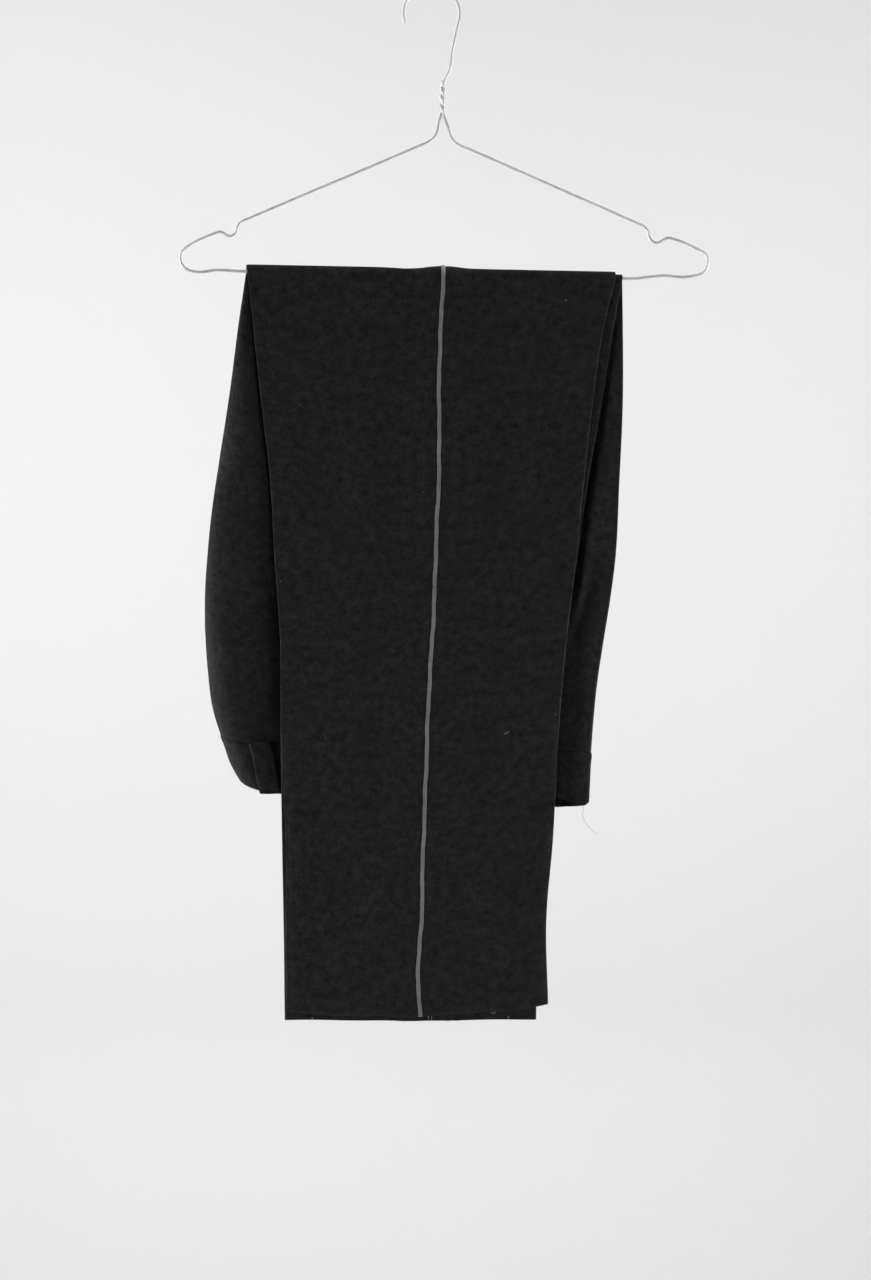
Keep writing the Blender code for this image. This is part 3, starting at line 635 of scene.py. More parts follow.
def back_section(m, seamed=True):
    """A back: the outer face, a quarter ellipse over the back crease, a smaller one under it, then straight.

    Past the crotch all of it fades into one quarter ellipse that ends at the centre back.
    """
    start = m["seam"] - PIPING_WIDTH / 2 - HALF_GAP
    flat = m["left"] + m["turn"]
    x1 = start + (flat - start) * FACE
    d1 = outer_face(m, x1, seamed)
    end_depth = d1[:, -1:] + pressed_back(m, x1)[:, -1:]
    a = turn_angles(90)
    fullness = TURN_FULLNESS + UPPER_ROUNDNESS * m["behind"] * (1 - ramp("upper hip ends", m["fall"]))
    x2 = flat - m["turn"] * np.sin(a) ** fullness
    d2 = m["tip"] + (end_depth - m["tip"]) * np.abs(np.cos(a)) ** fullness
    level = HALF_GAP + (m["apex"] - HALF_GAP) * m["open"]
    small = m["tip"] - level
    b = np.radians(90) * steps(TIP_STEPS)
    x3 = m["left"] + small * (1 - np.cos(b))
    d3 = m["tip"] - small * np.sin(b)
    x5, d5 = end_piece(m, m["back_end"], -1)
    t = np.arange(1, BACK_STEPS + 1) / (BACK_STEPS + 1)
    x4 = x3[:, -1:] + (x5[:, :1] - x3[:, -1:]) * t
    d4 = level + (d5[:, :1] - level) * t
    x = np.hstack([x1, x2, x3, x4, x5])
    depth = np.hstack([d1, d2, d3, d4, d5])
    outer = len(FACE)
    after_crease = SEAT_CREASE + (90 - SEAT_CREASE) * steps(x.shape[1] - outer - TURN_STEPS - 1)
    seat_turn = np.append(turn_angles(SEAT_CREASE), np.radians(after_crease))
    seat_x = np.hstack([x1, flat - m["turn"] * np.sin(seat_turn) ** fullness, m["left"]])
    bent = STRAIGHT_END + (end_depth - STRAIGHT_END) * np.abs(np.cos(seat_turn)) ** fullness
    seat_depth = np.hstack([d1, bent, HALF_GAP + 0 * flat])
    x = x + (seat_x - x) * m["seated"]
    depth = depth + (seat_depth - depth) * m["seated"]
    turned = slice(outer, outer + TURN_STEPS)
    depth[:, turned] -= pressed_back(m, x[:, turned])
    return x, depth


SEAM_COLUMN = len(FACE) + CREASE_STEPS + FRONT_STEPS + END_STEPS
print("columns of a front", SEAM_COLUMN + 1)

# %% [markdown]
# ## From the flat section to the hanging cloth
# In front of the bar the layers stack towards the camera, over it they run round the wire, and behind
# it they stack away. So one distance from the bar's middle line, turned by the angle round the bar,
# places every point. The piping of the inner leg lies on the wire, which lifts the fold over it into
# the small hump that the top line shows. Gravity draws the waist edge: it lifts at the centre back and
# at the front corner, sags along the front and stands open there, where the tuck parts the layers.

# %% Place x and depth in the room
HEM_LINE = {"right": (-0.4, 0.6, -10.4), "left": (6.4, 4.6, 2.0)}
HEM_SWELL = {"right": (1, 3), "left": (0, 0)}
HEM_WAVE = {"right": (0.25, 71, 2.0, 1, 0), "left": (0.25, 71, 0.5, 1, 0)}
CENTRE_BACK_LIFT = 8 * MM
CENTRE_BACK_CURL = 3 * MM
TUCK_SAG = 6 * MM
TUCK_SAG_SPAN = 25 * MM
FRONT_SAG = 4 * MM
CORNER_LIFT = 2.2 * MM
MOUTH_LIFT = 3 * MM
TUCK_OPENING = {"left": 9 * MM, "right": 4 * MM}
TUCK_OPENING_X = 22 * MM
TUCK_OPENING_WIDTH = 12 * MM
LATENESS = {"back": 4, "front": 24, "corner": 80}
HUMP_HEIGHT = 1.5 * MM
HUMP_SHIFT = 2 * MM
HUMP_WIDTH = 14 * MM
HUMP_FADE = 25 * MM
BAR_DIP = 0.8 * MM
BAR_DIP_X = -20 * MM
BAR_DIP_WIDTH = 12 * MM


def bar_dip(x):
    """The bar is bent down a little beside the seam, as a bell."""
    return BAR_DIP * bell(x - BAR_DIP_X, BAR_DIP_WIDTH)


def bar_height(x):
    """The bar's middle line falls to the right, with its small dip."""
    return BAR_Z + BAR_SLOPE * x - bar_dip(x)


def hem_offset(side, m, x):
    """How far below HEM_FALL the hem ends at x: a parabola through three heights, with a swell and a wave."""
    back, seam, front = np.array(HEM_LINE[side]) * MM
    t = (x - m["seam"]) / np.where(x < m["seam"], m["seam"] - m["left"], m["right"] - m["seam"])
    swell = np.where(t < 0, *HEM_SWELL[side]) * MM * np.clip(t * t * (1 - t * t), 0, 1)
    line = seam + (front - back) / 2 * t + ((front + back) / 2 - seam) * t * t
    return line + waves([HEM_WAVE[side]], x, 0) + swell


def waist_lift(side, m, x, drop, inside):
    """How far the lowest rows rise: each share of the waist edge times a high power of the drop."""
    late = {name: (drop / WAIST_FALL) ** power for name, power in LATENESS.items()}
    to_back = np.clip((m["left"] + m["turn"] - x) / m["turn"], 0, 1) ** 2
    to_tuck = inside * np.clip((m["right"] - x) / TUCK_SAG_SPAN, 0, 1) * (x > m["left"] + m["turn"])
    back = CENTRE_BACK_LIFT * to_back + CENTRE_BACK_CURL * to_back**4 - TUCK_SAG * to_tuck * m["seated"]
    mouth = ramp("mouth lifts", x) * (1 - ramp("mouth lift ends", x)) * (1 - inside) * (side == "left")
    front = MOUTH_LIFT * mouth - FRONT_SAG * ramp("front sags", x)
    corner = CORNER_LIFT * ramp("corner lifts", x - m["right"])
    return late["back"] * back + late["front"] * front + late["corner"] * corner


def place(side, angle, fall, m, x, depth):
    """Points in space: a distance from the bar's line, to -Y in front, radially over it, to +Y behind."""
    toward = {"left": -1, "right": 1}[side]
    from_seam = x - LEGS["left"]["seam"][0] - HUMP_SHIFT
    over_bar = HUMP_HEIGHT * np.exp(-((fall / HUMP_FADE) ** 2) - (from_seam / HUMP_WIDTH) ** 2)
    down = -np.minimum(fall, 0)
    drop = np.maximum(fall, 0)
    inside = np.clip((m["crease"] + m["bend"] - depth) / (2 * m["bend"]), 0, 1)
    mouth = bell(x - m["right"] + TUCK_OPENING_X, TUCK_OPENING_WIDTH) * ramp("mouth opens", drop)
    away = m["middle"] + toward * depth + over_bar - hip_lean(x, drop) + leg_sway(x, fall) * (fall < 0)
    away = away + TUCK_OPENING[side] * inside * mouth
    lower_hem = down / HEM_FALL * hem_offset(side, m, x)
    y = -away * np.cos(angle)
    lift = waist_lift(side, m, x, drop, inside)
    z = bar_height(x) + away * np.sin(angle) - down - lower_hem - drop + lift
    return np.stack([x, y, z], axis=-1)


HEM_ROWS = HEM_FALL - HEM_HEIGHT * crowded(28, 1.7)
LEG_ROWS = np.linspace(HEM_TOP, 0, 182)[1:-1]
TURN_ROWS = np.radians(np.linspace(0, 180, 25))
FORK_END = CROTCH_FALL + 50 * MM
BODY_ROWS = np.concatenate([
    np.linspace(0, CROTCH_FALL, 50)[1:],
    CROTCH_FALL + (FORK_END - CROTCH_FALL) * crowded(26)[1:],
    np.linspace(FORK_END, WAIST_FALL - BAND_HEIGHT - HALF_GAP, 60)[1:],
])
before_bar = np.concatenate([HEM_ROWS, LEG_ROWS])
ANGLE = np.concatenate([0 * before_bar, TURN_ROWS, math.pi + 0 * BODY_ROWS])[:, None]
FALL = np.concatenate([-before_bar, 0 * TURN_ROWS, BODY_ROWS])[:, None]
print("rows of a panel", len(FALL))

# %% [markdown]
# ## The look of the wool
# Melton is a twill that has been milled until its threads felted together: matt, nearly black, with a
# short nap lying down the leg and only a ghost of the twill. A photograph of it shows three scales at
# once: fine nap, a faint slanting rib, and broad patches where the pile lies differently. All three
# are noises read from the cloth's own UV map in metres, gathered in one node group, so that panels,
# band and loops take the same cloth with their own values. An image texture would repeat and blur.

# %% Node helpers and the cloth group


def add(tree, kind, inputs=None, **settings):
    """A node with its settings and the given input values or links."""
    made = tree.nodes.new(kind)
    for key, value in settings.items():
        setattr(made, key, value)
    for key, value in (inputs or {}).items():
        if isinstance(value, bpy.types.NodeSocket):
            tree.links.new(value, made.inputs[key])
        else:
            made.inputs[key].default_value = value
    return made


def arithmetic(tree, operation, one, other=0.0, third=0.0):
    """The result socket of a Math node."""
    return add(tree, "ShaderNodeMath", {0: one, 1: other, 2: third}, operation=operation).outputs[0]


def stretched(tree, vector, factors):
    """A vector multiplied by three factors."""
    return add(tree, "ShaderNodeVectorMath", {0: vector, 1: factors}, operation="MULTIPLY").outputs[0]


def noise(tree, vector, scale, detail, roughness=0.5):
    """The value of a noise texture."""
    inputs = {0: vector, "Scale": scale, "Detail": detail, "Roughness": roughness}
    return add(tree, "ShaderNodeTexNoise", inputs).outputs[0]


def between(tree, value, low, high, top):
    """0 below low, top above high and a straight line between."""
    inputs = {0: value, 1: low, 2: high, 3: 0.0, 4: top}
    return add(tree, "ShaderNodeMapRange", inputs, clamp=True).outputs[0]


def new_group(name, inputs):
    """An empty group with these inputs that gives a colour, a roughness and a normal."""
    tree = bpy.data.node_groups.new(name, "ShaderNodeTree")
    for socket, kind, value in inputs:
        made = tree.interface.new_socket(socket, in_out="INPUT", socket_type="NodeSocket" + kind)
        if value is not None:
            made.default_value = value
    for socket, kind in (("Color", "Color"), ("Roughness", "Float"), ("Normal", "Vector")):
        tree.interface.new_socket(socket, in_out="OUTPUT", socket_type="NodeSocket" + kind)
    return tree, tree.nodes.new("NodeGroupInput").outputs, tree.nodes.new("NodeGroupOutput").inputs


def close_group(tree, result, colour, shade, roughness, height, strength, distance):
    """Link a colour scaled by a shade, a roughness, and a normal bumped by a height."""
    scaled = add(tree, "ShaderNodeVectorMath", {0: colour, "Scale": shade}, operation="SCALE")
    bump = add(tree, "ShaderNodeBump", {"Height": height, "Strength": strength, "Distance": distance})
    for name, socket in (("Color", scaled.outputs[0]), ("Roughness", roughness), ("Normal", bump.outputs[0])):
        tree.links.new(socket, result[name])


def grey(value):
    """An opaque neutral colour."""
    return (value, value, value, 1)


def new_material(name, values, group=None, given=()):
    """A Principled material with these values; a group on the piece's UV map may give its looks."""
    material = bpy.data.materials.new(name)
    material.use_nodes = True
    tree = material.node_tree
    shader = tree.nodes["Principled BSDF"]
    for key, value in values.items():
        shader.inputs[key].default_value = value
    if group is not None:
        uv = add(tree, "ShaderNodeUVMap", uv_map="cloth")
        looks = add(tree, "ShaderNodeGroup", {"Place": uv.outputs[0], **given}, node_tree=group)
        for out, into in (("Color", "Base Color"), ("Roughness", "Roughness"), ("Normal", "Normal")):
            tree.links.new(looks.outputs[out], shader.inputs[into])
    return material


DIAGONAL_LENGTH = 0.444  # of a wave texture's diagonal band at scale 1
CLOTH, given, result = new_group("felted_cloth", [
    ("Place", "Vector", None), ("Shade", "Color", grey(0.5)), ("Rib pitch", "Float", 0.9),
    ("Rib", "Float", 0.3), ("Clumps", "Float", 1.0), ("Patches", "Float", 0.2), ("Relief", "Float", 0.5),
])
calc = partial(arithmetic, CLOTH)
in_mm = stretched(CLOTH, given["Place"], (1000, 1000, 1000))
nap = noise(CLOTH, stretched(CLOTH, in_mm, (2.4, 0.8, 1)), 1.0, 4.0, 0.65)
hairs = noise(CLOTH, stretched(CLOTH, in_mm, (5.0, 1.1, 1)), 1.0, 2.0)
clumps = noise(CLOTH, in_mm, 0.15, 3.0, 0.88)
patches = noise(CLOTH, in_mm, 0.035, 1.5, 0.7)
rib_scale = calc("DIVIDE", DIAGONAL_LENGTH, given["Rib pitch"])
rib = add(CLOTH, "ShaderNodeTexWave", {
    0: in_mm, "Scale": rib_scale, "Distortion": 1.6, "Detail": 2.0, "Detail Scale": 2.2,
}, wave_type="BANDS", bands_direction="DIAGONAL").outputs[1]
height = calc("ADD", calc("MULTIPLY_ADD", rib, given["Rib"], nap), clumps)
nap_shade = calc("MULTIPLY_ADD", nap, 0.6, 0.7)
rib_shade = calc("MULTIPLY_ADD", calc("MULTIPLY", rib, given["Rib"]), 0.35, 0.93)
patch_shade = calc("MULTIPLY_ADD", calc("SUBTRACT", patches, 0.5), given["Patches"], 1.0)
clump_shade = calc("MULTIPLY_ADD", calc("SUBTRACT", clumps, 0.5), given["Clumps"], 1.0)
shade = calc("MULTIPLY", calc("MULTIPLY", nap_shade, rib_shade), patch_shade)
shade = calc("ADD", calc("MULTIPLY", shade, clump_shade), between(CLOTH, hairs, 0.66, 0.8, 0.55))
roughness = calc("MULTIPLY_ADD", patches, 0.12, 0.84)
close_group(CLOTH, result, given["Shade"], shade, roughness, height, given["Relief"], 0.25 * MM)

NAP = {"Sheen Weight": 0.06, "Sheen Roughness": 0.5, "Sheen Tint": grey(0.5), "Specular IOR Level": 0.2}
MELTON = {"Shade": (0.0105, 0.0105, 0.0108, 1), "Rib pitch": 1.1, "Rib": 0.45, "Clumps": 3.9, "Relief": 0.9}
WOOL = new_material("dark_melton", NAP, CLOTH, {**MELTON, "Patches": 0.9})
BAND_WOOL = new_material("dark_melton_band", NAP, CLOTH, {**MELTON, "Patches": 0.7})
PIPING = new_material(
    "grey_piping", {**NAP, "Sheen Weight": 0.1, "Specular IOR Level": 0.3}, CLOTH,
    {"Shade": grey(0.165), "Rib pitch": 0.7, "Rib": 0.7, "Patches": 0.6, "Relief": 0.6},
)
THREAD = new_material(
    "dark_thread", {**NAP, "Sheen Weight": 0.0, "Specular IOR Level": 0.4}, CLOTH,
    {"Shade": grey(0.02), "Rib pitch": 0.3, "Rib": 0.8, "Relief": 0.4},
)
print("cloth materials", [m.name for m in (WOOL, BAND_WOOL, PIPING, THREAD)])

# %% [markdown]
# ## The four panels
# Each panel is one piece of cloth from hem to waistband, as it is cut: it starts at the side seam,
# wraps its crease and ends at the inseam and the centre seam. One grid over all rows and columns
# keeps it a single cloth. Solidify gives the wall inwards, doubled at the hem where the cloth is
# turned up, and a bevel rounds the wall's edges.

# %% Panels from hem to waistband
GRIDS = {}
FACING = {"left": -1, "right": 1}
single = WALL / HEM_WALL
row_walls = np.round(single + (1 - single) * hem_share(-FALL[:, 0]), 3)
for side, turned in FACING.items():
    m = section(side, ANGLE, FALL)
    for part, columns, outward in (("front", front_section, turned), ("back", back_section, -turned)):
        points = place(side, ANGLE, FALL, m, *columns(m))
        GRIDS[part, side] = points
        cloth_piece(
            f"{part}_{side}", f"wool_{part}_{side}", points, outward, HEM_WALL, WOOL, row_walls
        )
print("panel cells", [points.shape[:2] for points in GRIDS.values()])

# %% [markdown]
# ## The piping
# A bias strip folded over and caught in the side seam shows as a low rounded ridge, three
# millimetres across. Its profile is a half wave across the seam, carried along the seam's line. It
# swells and narrows a little between stitches, as a hand-guided strip does.

# %% Piping in the side seams
PIPING_EDGE = -0.25 * MM
PIPING_COLUMNS = 13
PIPING_WALL = 0.8 * MM
WIDTH_WAVES = [(0.05 / MM, 17, 0.3, 0, 1), (0.04 / MM, 7.3, 1.1, 0, 1)]
HEIGHT_WAVES = [(0.12 / MM, 11, 0.8, 0, 1)]


def piping_points(side, angle, fall, m):
    """A dome across the seam: place by minus cosine, height by sine to the power 0.7, both waving."""
    a = np.linspace(0, math.pi, PIPING_COLUMNS)
    half = PIPING_WIDTH / 2 * (1 + waves(WIDTH_WAVES, 0, fall))
    proud = PIPING_PROUD * (1 + waves(HEIGHT_WAVES, 0, fall))
    x = m["seam"] - half * np.cos(a)
    depth = outer_depth(m, x) + hip_relief(m, x) + PIPING_EDGE
    return place(side, angle, fall, m, x, depth + (proud - PIPING_EDGE) * np.clip(np.sin(a), 0, 1) ** 0.7)


for side, turned in FACING.items():
    points = piping_points(side, ANGLE, FALL, section(side, ANGLE, FALL))
    GRIDS["piping", side] = points
    cloth_piece(
        f"piping_{side}", f"piping_strip_{side}", points, turned, PIPING_WALL, PIPING, rim=0.2 * MM
    )
print("piping length", round(float(runs(GRIDS["piping", "right"], 0)[-1, 6]), 3), "m")

# %% [markdown]
# ## Waistbands
# The band is doubled cloth, 38.5 mm high, sewn to the panels with the allowances turned up into it:
# a ditch along the seam, then a low ridge, then a flat face down to the folded free edge. The body's
# own section gives the path round the waist; moving it out along its normals gives the band's face.

# %% Waistbands from centre front to centre back
BAND_WALL = 1.9 * MM
BAND_PROUD = 0.4 * MM
BAND_GAP = 0.04 * MM
BAND_DITCH = 0.8 * MM
BAND_DITCH_WIDTH = 0.9 * MM
BAND_ROWS = np.concatenate([crowded(14, 1.6) * 0.35, np.linspace(0.35, 1, 16)[1:]])
BAND_BUMPS = [(0.4, 0.1, 0.075), (0.12, 0.86, 0.05)]


def normals(points, outward):
    """Unit normals of a grid: the cross product of its slopes across and along."""
    return unit(outward * np.cross(np.gradient(points, axis=1), np.gradient(points, axis=0)))


def band_face(share):
    """How proud the band stands by its share of height: level with two bumps, less a ditch at the seam."""
    bumps = sum(height * MM * bell(share - at, width) for height, at, width in BAND_BUMPS)
    return BAND_PROUD + bumps - BAND_DITCH * np.exp(-share * BAND_HEIGHT / BAND_DITCH_WIDTH)


def band_points(side, shares, out):
    """The waistband's outer face at shares of its height, moved out along its normals."""
    fall = WAIST_FALL + (BAND_HEIGHT + HALF_GAP - BAND_GAP) * (np.array(shares)[:, None] - 1)
    turn = np.full_like(fall, math.pi)
    m = section(side, turn, fall)
    front_x, front_depth = front_section(m, seamed=False)
    back_x, back_depth = back_section(m, seamed=False)
    x = np.hstack([front_x[:, ::-1], back_x])
    depth = np.hstack([front_depth[:, ::-1], back_depth])
    points = place(side, turn, fall, m, x, depth)
    move = normals(points, -FACING[side]) * out
    move[:, [0, -1], 1] = 0
    return points + move


for side, turned in FACING.items():
    points = band_points(side, BAND_ROWS, band_face(BAND_ROWS)[:, None, None])
    GRIDS["waistband", side] = points
    cloth_piece(
        f"waistband_{side}", f"waistband_cloth_{side}", points, -turned, BAND_WALL, BAND_WOOL, rim=0.7 * MM
    )
print("half waist", [round(float(runs(GRIDS["waistband", s], 1)[0, -1]), 3) for s in FACING], "m")

# %% [markdown]
# ## Belt loops and their stitches
# A belt loop is a strip of the same wool, folded to three layers and pressed. It is sewn down at the
# seam above and at the free edge below, and stands a little off the band between. Each end has a
# short row of stitches: every stitch is a small spindle, and all of them make one mesh.

# %% Belt loops and stitches
SPINDLE_ENDS = (0.04, 0.96)
SPINDLE_RINGS = 5
SPINDLE_SIDES = 6
LOOP_WIDTH = 17 * MM
LOOP_WALL = 1.5 * MM
LOOP_CLEARANCE = 0.3 * MM
LOOP_STAND = 1.7 * MM
LOOP_LEAST = 0.12
LOOP_CROWN = 0.35 * MM
LOOP_ABOVE = 2.0 * MM
LOOP_BELOW = 0.8 * MM
LOOPS = {"back": (155.5, 6.5), "side": (14, 0.5), "front": (-52, -0.5)}
STITCH_ROWS = (2, -3)
STITCH_PROUD = 0.05 * MM


def on_length(points, lengths, origin):
    """Points of each row at these lengths along it from one column, by straight steps between points."""
    run = runs(points, 1)
    run = run - run[:, origin : origin + 1]
    wanted = np.broadcast_to(lengths, (len(points), np.shape(lengths)[-1]))
    rows = [[np.interp(at, r, row[:, k]) for k in range(3)] for at, r, row in zip(wanted, run, points)]
    return np.moveaxis(np.array(rows), 1, 2)


def spindles(name, centres, along, ups, length, radius):
    """Stitches as one mesh: spindles whose radius is the root of the sine of their share of length."""
    t = np.linspace(*SPINDLE_ENDS, SPINDLE_RINGS)
    lines = centres[:, None] + unit(along)[:, None] * ((t - 0.5) * length)[:, None]
    swell = radius * np.sin(math.pi * t) ** 0.5
    points, faces = swept(lines, [swell] * len(lines), ups, SPINDLE_SIDES)
    return mesh_object(name, points, faces, THREAD, points[:, [0, 2]])


def loop_points(side, from_seam, slant):
    """The loop's outer face: a stand that rises smoothly from both ends, a crown across, square ends."""
    first = -LOOP_ABOVE / BAND_HEIGHT
    last = 1 + LOOP_BELOW / BAND_HEIGHT
    shares = np.linspace(first, last, 26)
    ends = np.minimum(shares - first, last - shares) * BAND_HEIGHT
    stand = (LOOP_LEAST + (1 - LOOP_LEAST) * ramp("loop stands", ends))[:, None, None]
    across = np.linspace(-0.5, 0.5, 11)
    crown = (LOOP_CROWN * (1 - (2 * across) ** 4))[None, :, None]
    base = BAND_PROUD + LOOP_CLEARANCE + LOOP_WALL
    lengths = from_seam - slant * shares[:, None] + across * LOOP_WIDTH
    low = on_length(band_points(side, shares, base), lengths, SEAM_COLUMN)
    high = on_length(band_points(side, shares, base + LOOP_STAND), lengths, SEAM_COLUMN)
    points = low + (high - low) * (stand + crown / LOOP_STAND)
    points[:, :, 2] -= slant / BAND_HEIGHT * LOOP_WIDTH * across
    return points


stitch_rows = []
for side, turned in FACING.items():
    for spot, (from_seam, slant) in LOOPS.items():
        points = loop_points(side, from_seam * MM, slant * MM)
        cloth_piece(
            f"belt_loop_{spot}_{side}", f"loop_strip_{spot}_{side}", points, -turned, LOOP_WALL, BAND_WOOL,
            rim=0.55 * MM,
        )
        face = normals(points, -turned)
        for row in STITCH_ROWS:
            wide, up = points[row, 1:-1], face[row, 1:-1]
            stitch_rows.append((wide + up * STITCH_PROUD, np.gradient(wide, axis=0), up))
centres, along, ups = (np.vstack(part) for part in zip(*stitch_rows))
loop_stitches = spindles("loop_stitches", centres, along, ups, length=1.5 * MM, radius=0.16 * MM)

# %% [markdown]
# ## Hidden pieces that the garment must have
# The centre front folds in between the hips, out of the camera's sight. It still needs what closes
# it: a shield of single cloth behind the left front's edge and one button on the waistband. The shield
# follows the panel's own section from inside; the button is a turned disc, a profile carried round,
# with four dips for its holes.

# %% Fly shield and waist button
FLY_WIDTH = 38 * MM
FLY_LENGTH = 165 * MM
FLY_CLEARANCE = 0.4 * MM
BUTTON_THICKNESS = 2.4 * MM
BUTTON_CLEARANCE = 0.3 * MM
BUTTON_FROM_CENTRE = 17 * MM
BUTTON_SIDES = 40
BUTTON_SHARES = (0.35, 0.5, 0.65)
FLY_COLUMNS = np.concatenate([np.linspace(1.5, 12, 12) * MM, np.linspace(14 * MM, FLY_WIDTH, 12)])
BUTTON = table("radius height", [
    (0.2, 0.5), (1.5, 0.5), (3, 0.5), (4.5, 0.52), (5.6, 0.62), (6.3, 0.95), (6.9, 1.18), (7.6, 1.2),
    (8.2, 1.0), (8.5, 0.5), (8.5, -0.4), (8.1, -0.95), (7.2, -1.2), (4, -1.2), (0.2, -1.2),
])
HOLE_PLACE = 1.6 * MM
HOLE_RADIUS = 0.85 * MM
HOLE_DEPTH = 1.5 * MM

fly_fall = WAIST_FALL - FLY_LENGTH * np.linspace(1, 0.03, 48)[:, None]
fly_turn = np.full_like(fly_fall, math.pi)
m = section("left", fly_turn, fly_fall)
panel = place("left", fly_turn, fly_fall, m, *front_section(m))[:, ::-1]
inwards = WALL + (BAND_WALL - BAND_PROUD - WALL) * ramp("shield passes band", fly_fall) + FLY_CLEARANCE
inner = panel - normals(panel, 1) * inwards[:, :, None]
strip = on_length(inner, FLY_COLUMNS, 0)
shield = cloth_piece("fly_shield", "shield_cloth", strip, 1, WALL, WOOL)


def turned_disc(name, spot, face, material):
    """A surface of revolution about face through spot, whose front face dips by a bell at every hole."""
    a = 2 * math.pi * np.arange(BUTTON_SIDES) / BUTTON_SIDES
    places = np.arange(len(BUTTON["radius"]))
    fine = np.linspace(0, places[-1], 3 * len(places) - 2)
    radius, level = (np.interp(fine, places, BUTTON[name])[:, None] for name in ("radius", "height"))
    level = level + 0 * a
    side_axis = unit(np.cross(face, [0, 0, 1.0]))
    other_axis = np.cross(face, side_axis)
    u, v = radius * np.cos(a), radius * np.sin(a)
    for hole_u in (-HOLE_PLACE, HOLE_PLACE):
        for hole_v in (-HOLE_PLACE, HOLE_PLACE):
            level = level - HOLE_DEPTH * bell(np.hypot(u - hole_u, v - hole_v), HOLE_RADIUS) * (level > 0)
    grid = spot + u[..., None] * side_axis + v[..., None] * other_axis + level[..., None] * face
    faces = closed_faces(len(fine), BUTTON_SIDES)
    return mesh_object(name, grid.reshape(-1, 3), faces, material, np.stack([u, v], axis=-1).reshape(-1, 2))


HORN = new_material("dark_horn", {"Base Color": grey(0.02), "Roughness": 0.35})
around_button = BUTTON_FROM_CENTRE + np.array([-1, 0, 1]) * MM
patch = on_length(band_points("left", BUTTON_SHARES, BAND_PROUD), around_button, 0)
face = unit(np.cross(patch[0, 1] - patch[2, 1], patch[1, 2] - patch[1, 0]))
face *= np.sign(face[1])
button_middle = patch[1, 1] + face * (BUTTON_CLEARANCE + BUTTON_THICKNESS / 2)
button = turned_disc("waist_button_disc", button_middle, face, HORN)
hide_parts("waist_button")
print("button at", np.round(patch[1, 1], 3))

# %% [markdown]
# ## Hems
# The hem is 65 mm of cloth turned up inside and felled by hand, so outside it shows only as a faint
# change at its upper edge and a row of tiny pricks where the needle caught a thread or two. The same
# spindles make these pricks, one every 7 mm round both legs.

# %% Hem pricks round both legs
PRICK_SPACING = 7 * MM
PRICK_ENDS = (4 * MM, 2 * MM)
PRICK_SUNK = 0.05 * MM
PRICK_SLANT = 0.6
hem_row = len(HEM_ROWS) - 1
prick_parts = []
for side, turned in FACING.items():
    for part, outward in (("front", turned), ("back", -turned)):
        near = GRIDS[part, side][hem_row - 1 : hem_row + 2]
        face = normals(near, outward)
        lengths = np.arange(PRICK_ENDS[0], runs(near, 1)[1, -1] - PRICK_ENDS[1], PRICK_SPACING)
        spots = on_length(near, lengths, 0)
        facing = on_length(np.concatenate([near[1:2], near[1:2] + face[1:2]]), lengths, 0)
        up = facing[1] - facing[0]
        slanted = spots[1] - spots[0] + PRICK_SLANT * np.gradient(spots[1], axis=0)
        prick_parts.append((spots[1] - up * PRICK_SUNK, slanted, up))
centres, along, ups = (np.vstack(part) for part in zip(*prick_parts))
hem_pricks = spindles("hem_pricks", centres, along, ups, length=1.1 * MM, radius=0.12 * MM)
print("hem pricks", len(centres))

# %% [markdown]
# ## The hanger
# One steel wire, 2.3 mm thick, bent round a jig: the hook, a stem, two turns of twist, then round the
# frame with a notch in each arm, and back into the twist where its other end stops. A curve object
# with a bevel would do. Here the route is worked out and smoothed as one array and a circle is
# carried along it, which keeps the wire whole and lets its arms waver as bent wire does.

# %% One wire from hook to twist
HOOK_RADIUS = 22.0
HOOK_SHIFT = -0.3
HOOK_ANGLES = (200, -12)
STEM = [(18.3, -37.4), (16.8, -44.5), (15.6, -50.7), (14.8, -58.5), (14, -63.2), (12.6, -67.1), (11, -70)]
LEFT_ARM = [
    (4.7, -106.9), (3.5, -113.1), (0.8, -117.8), (-3.1, -120.9), (-9, -123.6), (-143, -180.8),
    (-149.8, -183.9), (-152.3, -187.6), (-153.2, -191.6), (-155.4, -194.1), (-158.4, -195), (-161.4, -193.9),
    (-164, -192), (-166.6, -191.4), (-170, -192.6), (-190, -202), (-194, -204.9), (-196.3, -208.8),
]
RIGHT_ARM = [
    (10.9, -104.5), (12.9, -110), (14.4, -116.2), (17.2, -120.9), (21.1, -123.6), (27, -125.9),
    (160, -184.3), (166.5, -187.8), (169.2, -191.2), (169.9, -195.2), (172.2, -198.7), (175.5, -199.9),
    (179, -199), (182, -197.1), (185.2, -196), (189, -197), (209, -205.6), (213.4, -208),
]
LEFT_END = [
    (-196.7, -212.4), (-195.9, -216.4), (-193.4, -219.6), (-189.5, -221.6), (-183, -222.8), (-176.5, -222.4),
    (-170.8, -221.4), (-163.8, -221.4), (-152, -222.1),
]
RIGHT_END = [
    (215.9, -216.4), (214.9, -220.2), (212.6, -223.2), (208.5, -225.2), (203, -226.3), (196.6, -227.1),
    (190.5, -226.6), (183.3, -225.9), (173.9, -226.4), (157, -228.2),
]
TWIST_TOP = np.array([8.6, 0, -72.5])
TWIST_BOTTOM = np.array([8.0, 0, -100.0])
TWIST_TURNS = 2
TWIST_SPACE = 0.05
LONG_STRETCH = 30
EASE = 7
ROUTE_STEP = 0.6
FINE_STEP = 0.5
SMOOTHING = 1.0
ROUTE_FADE = 10
FRAME_TOP = -106
BAR_TOP = -200
TAPER = {0: 0.55, 1: 0.9}
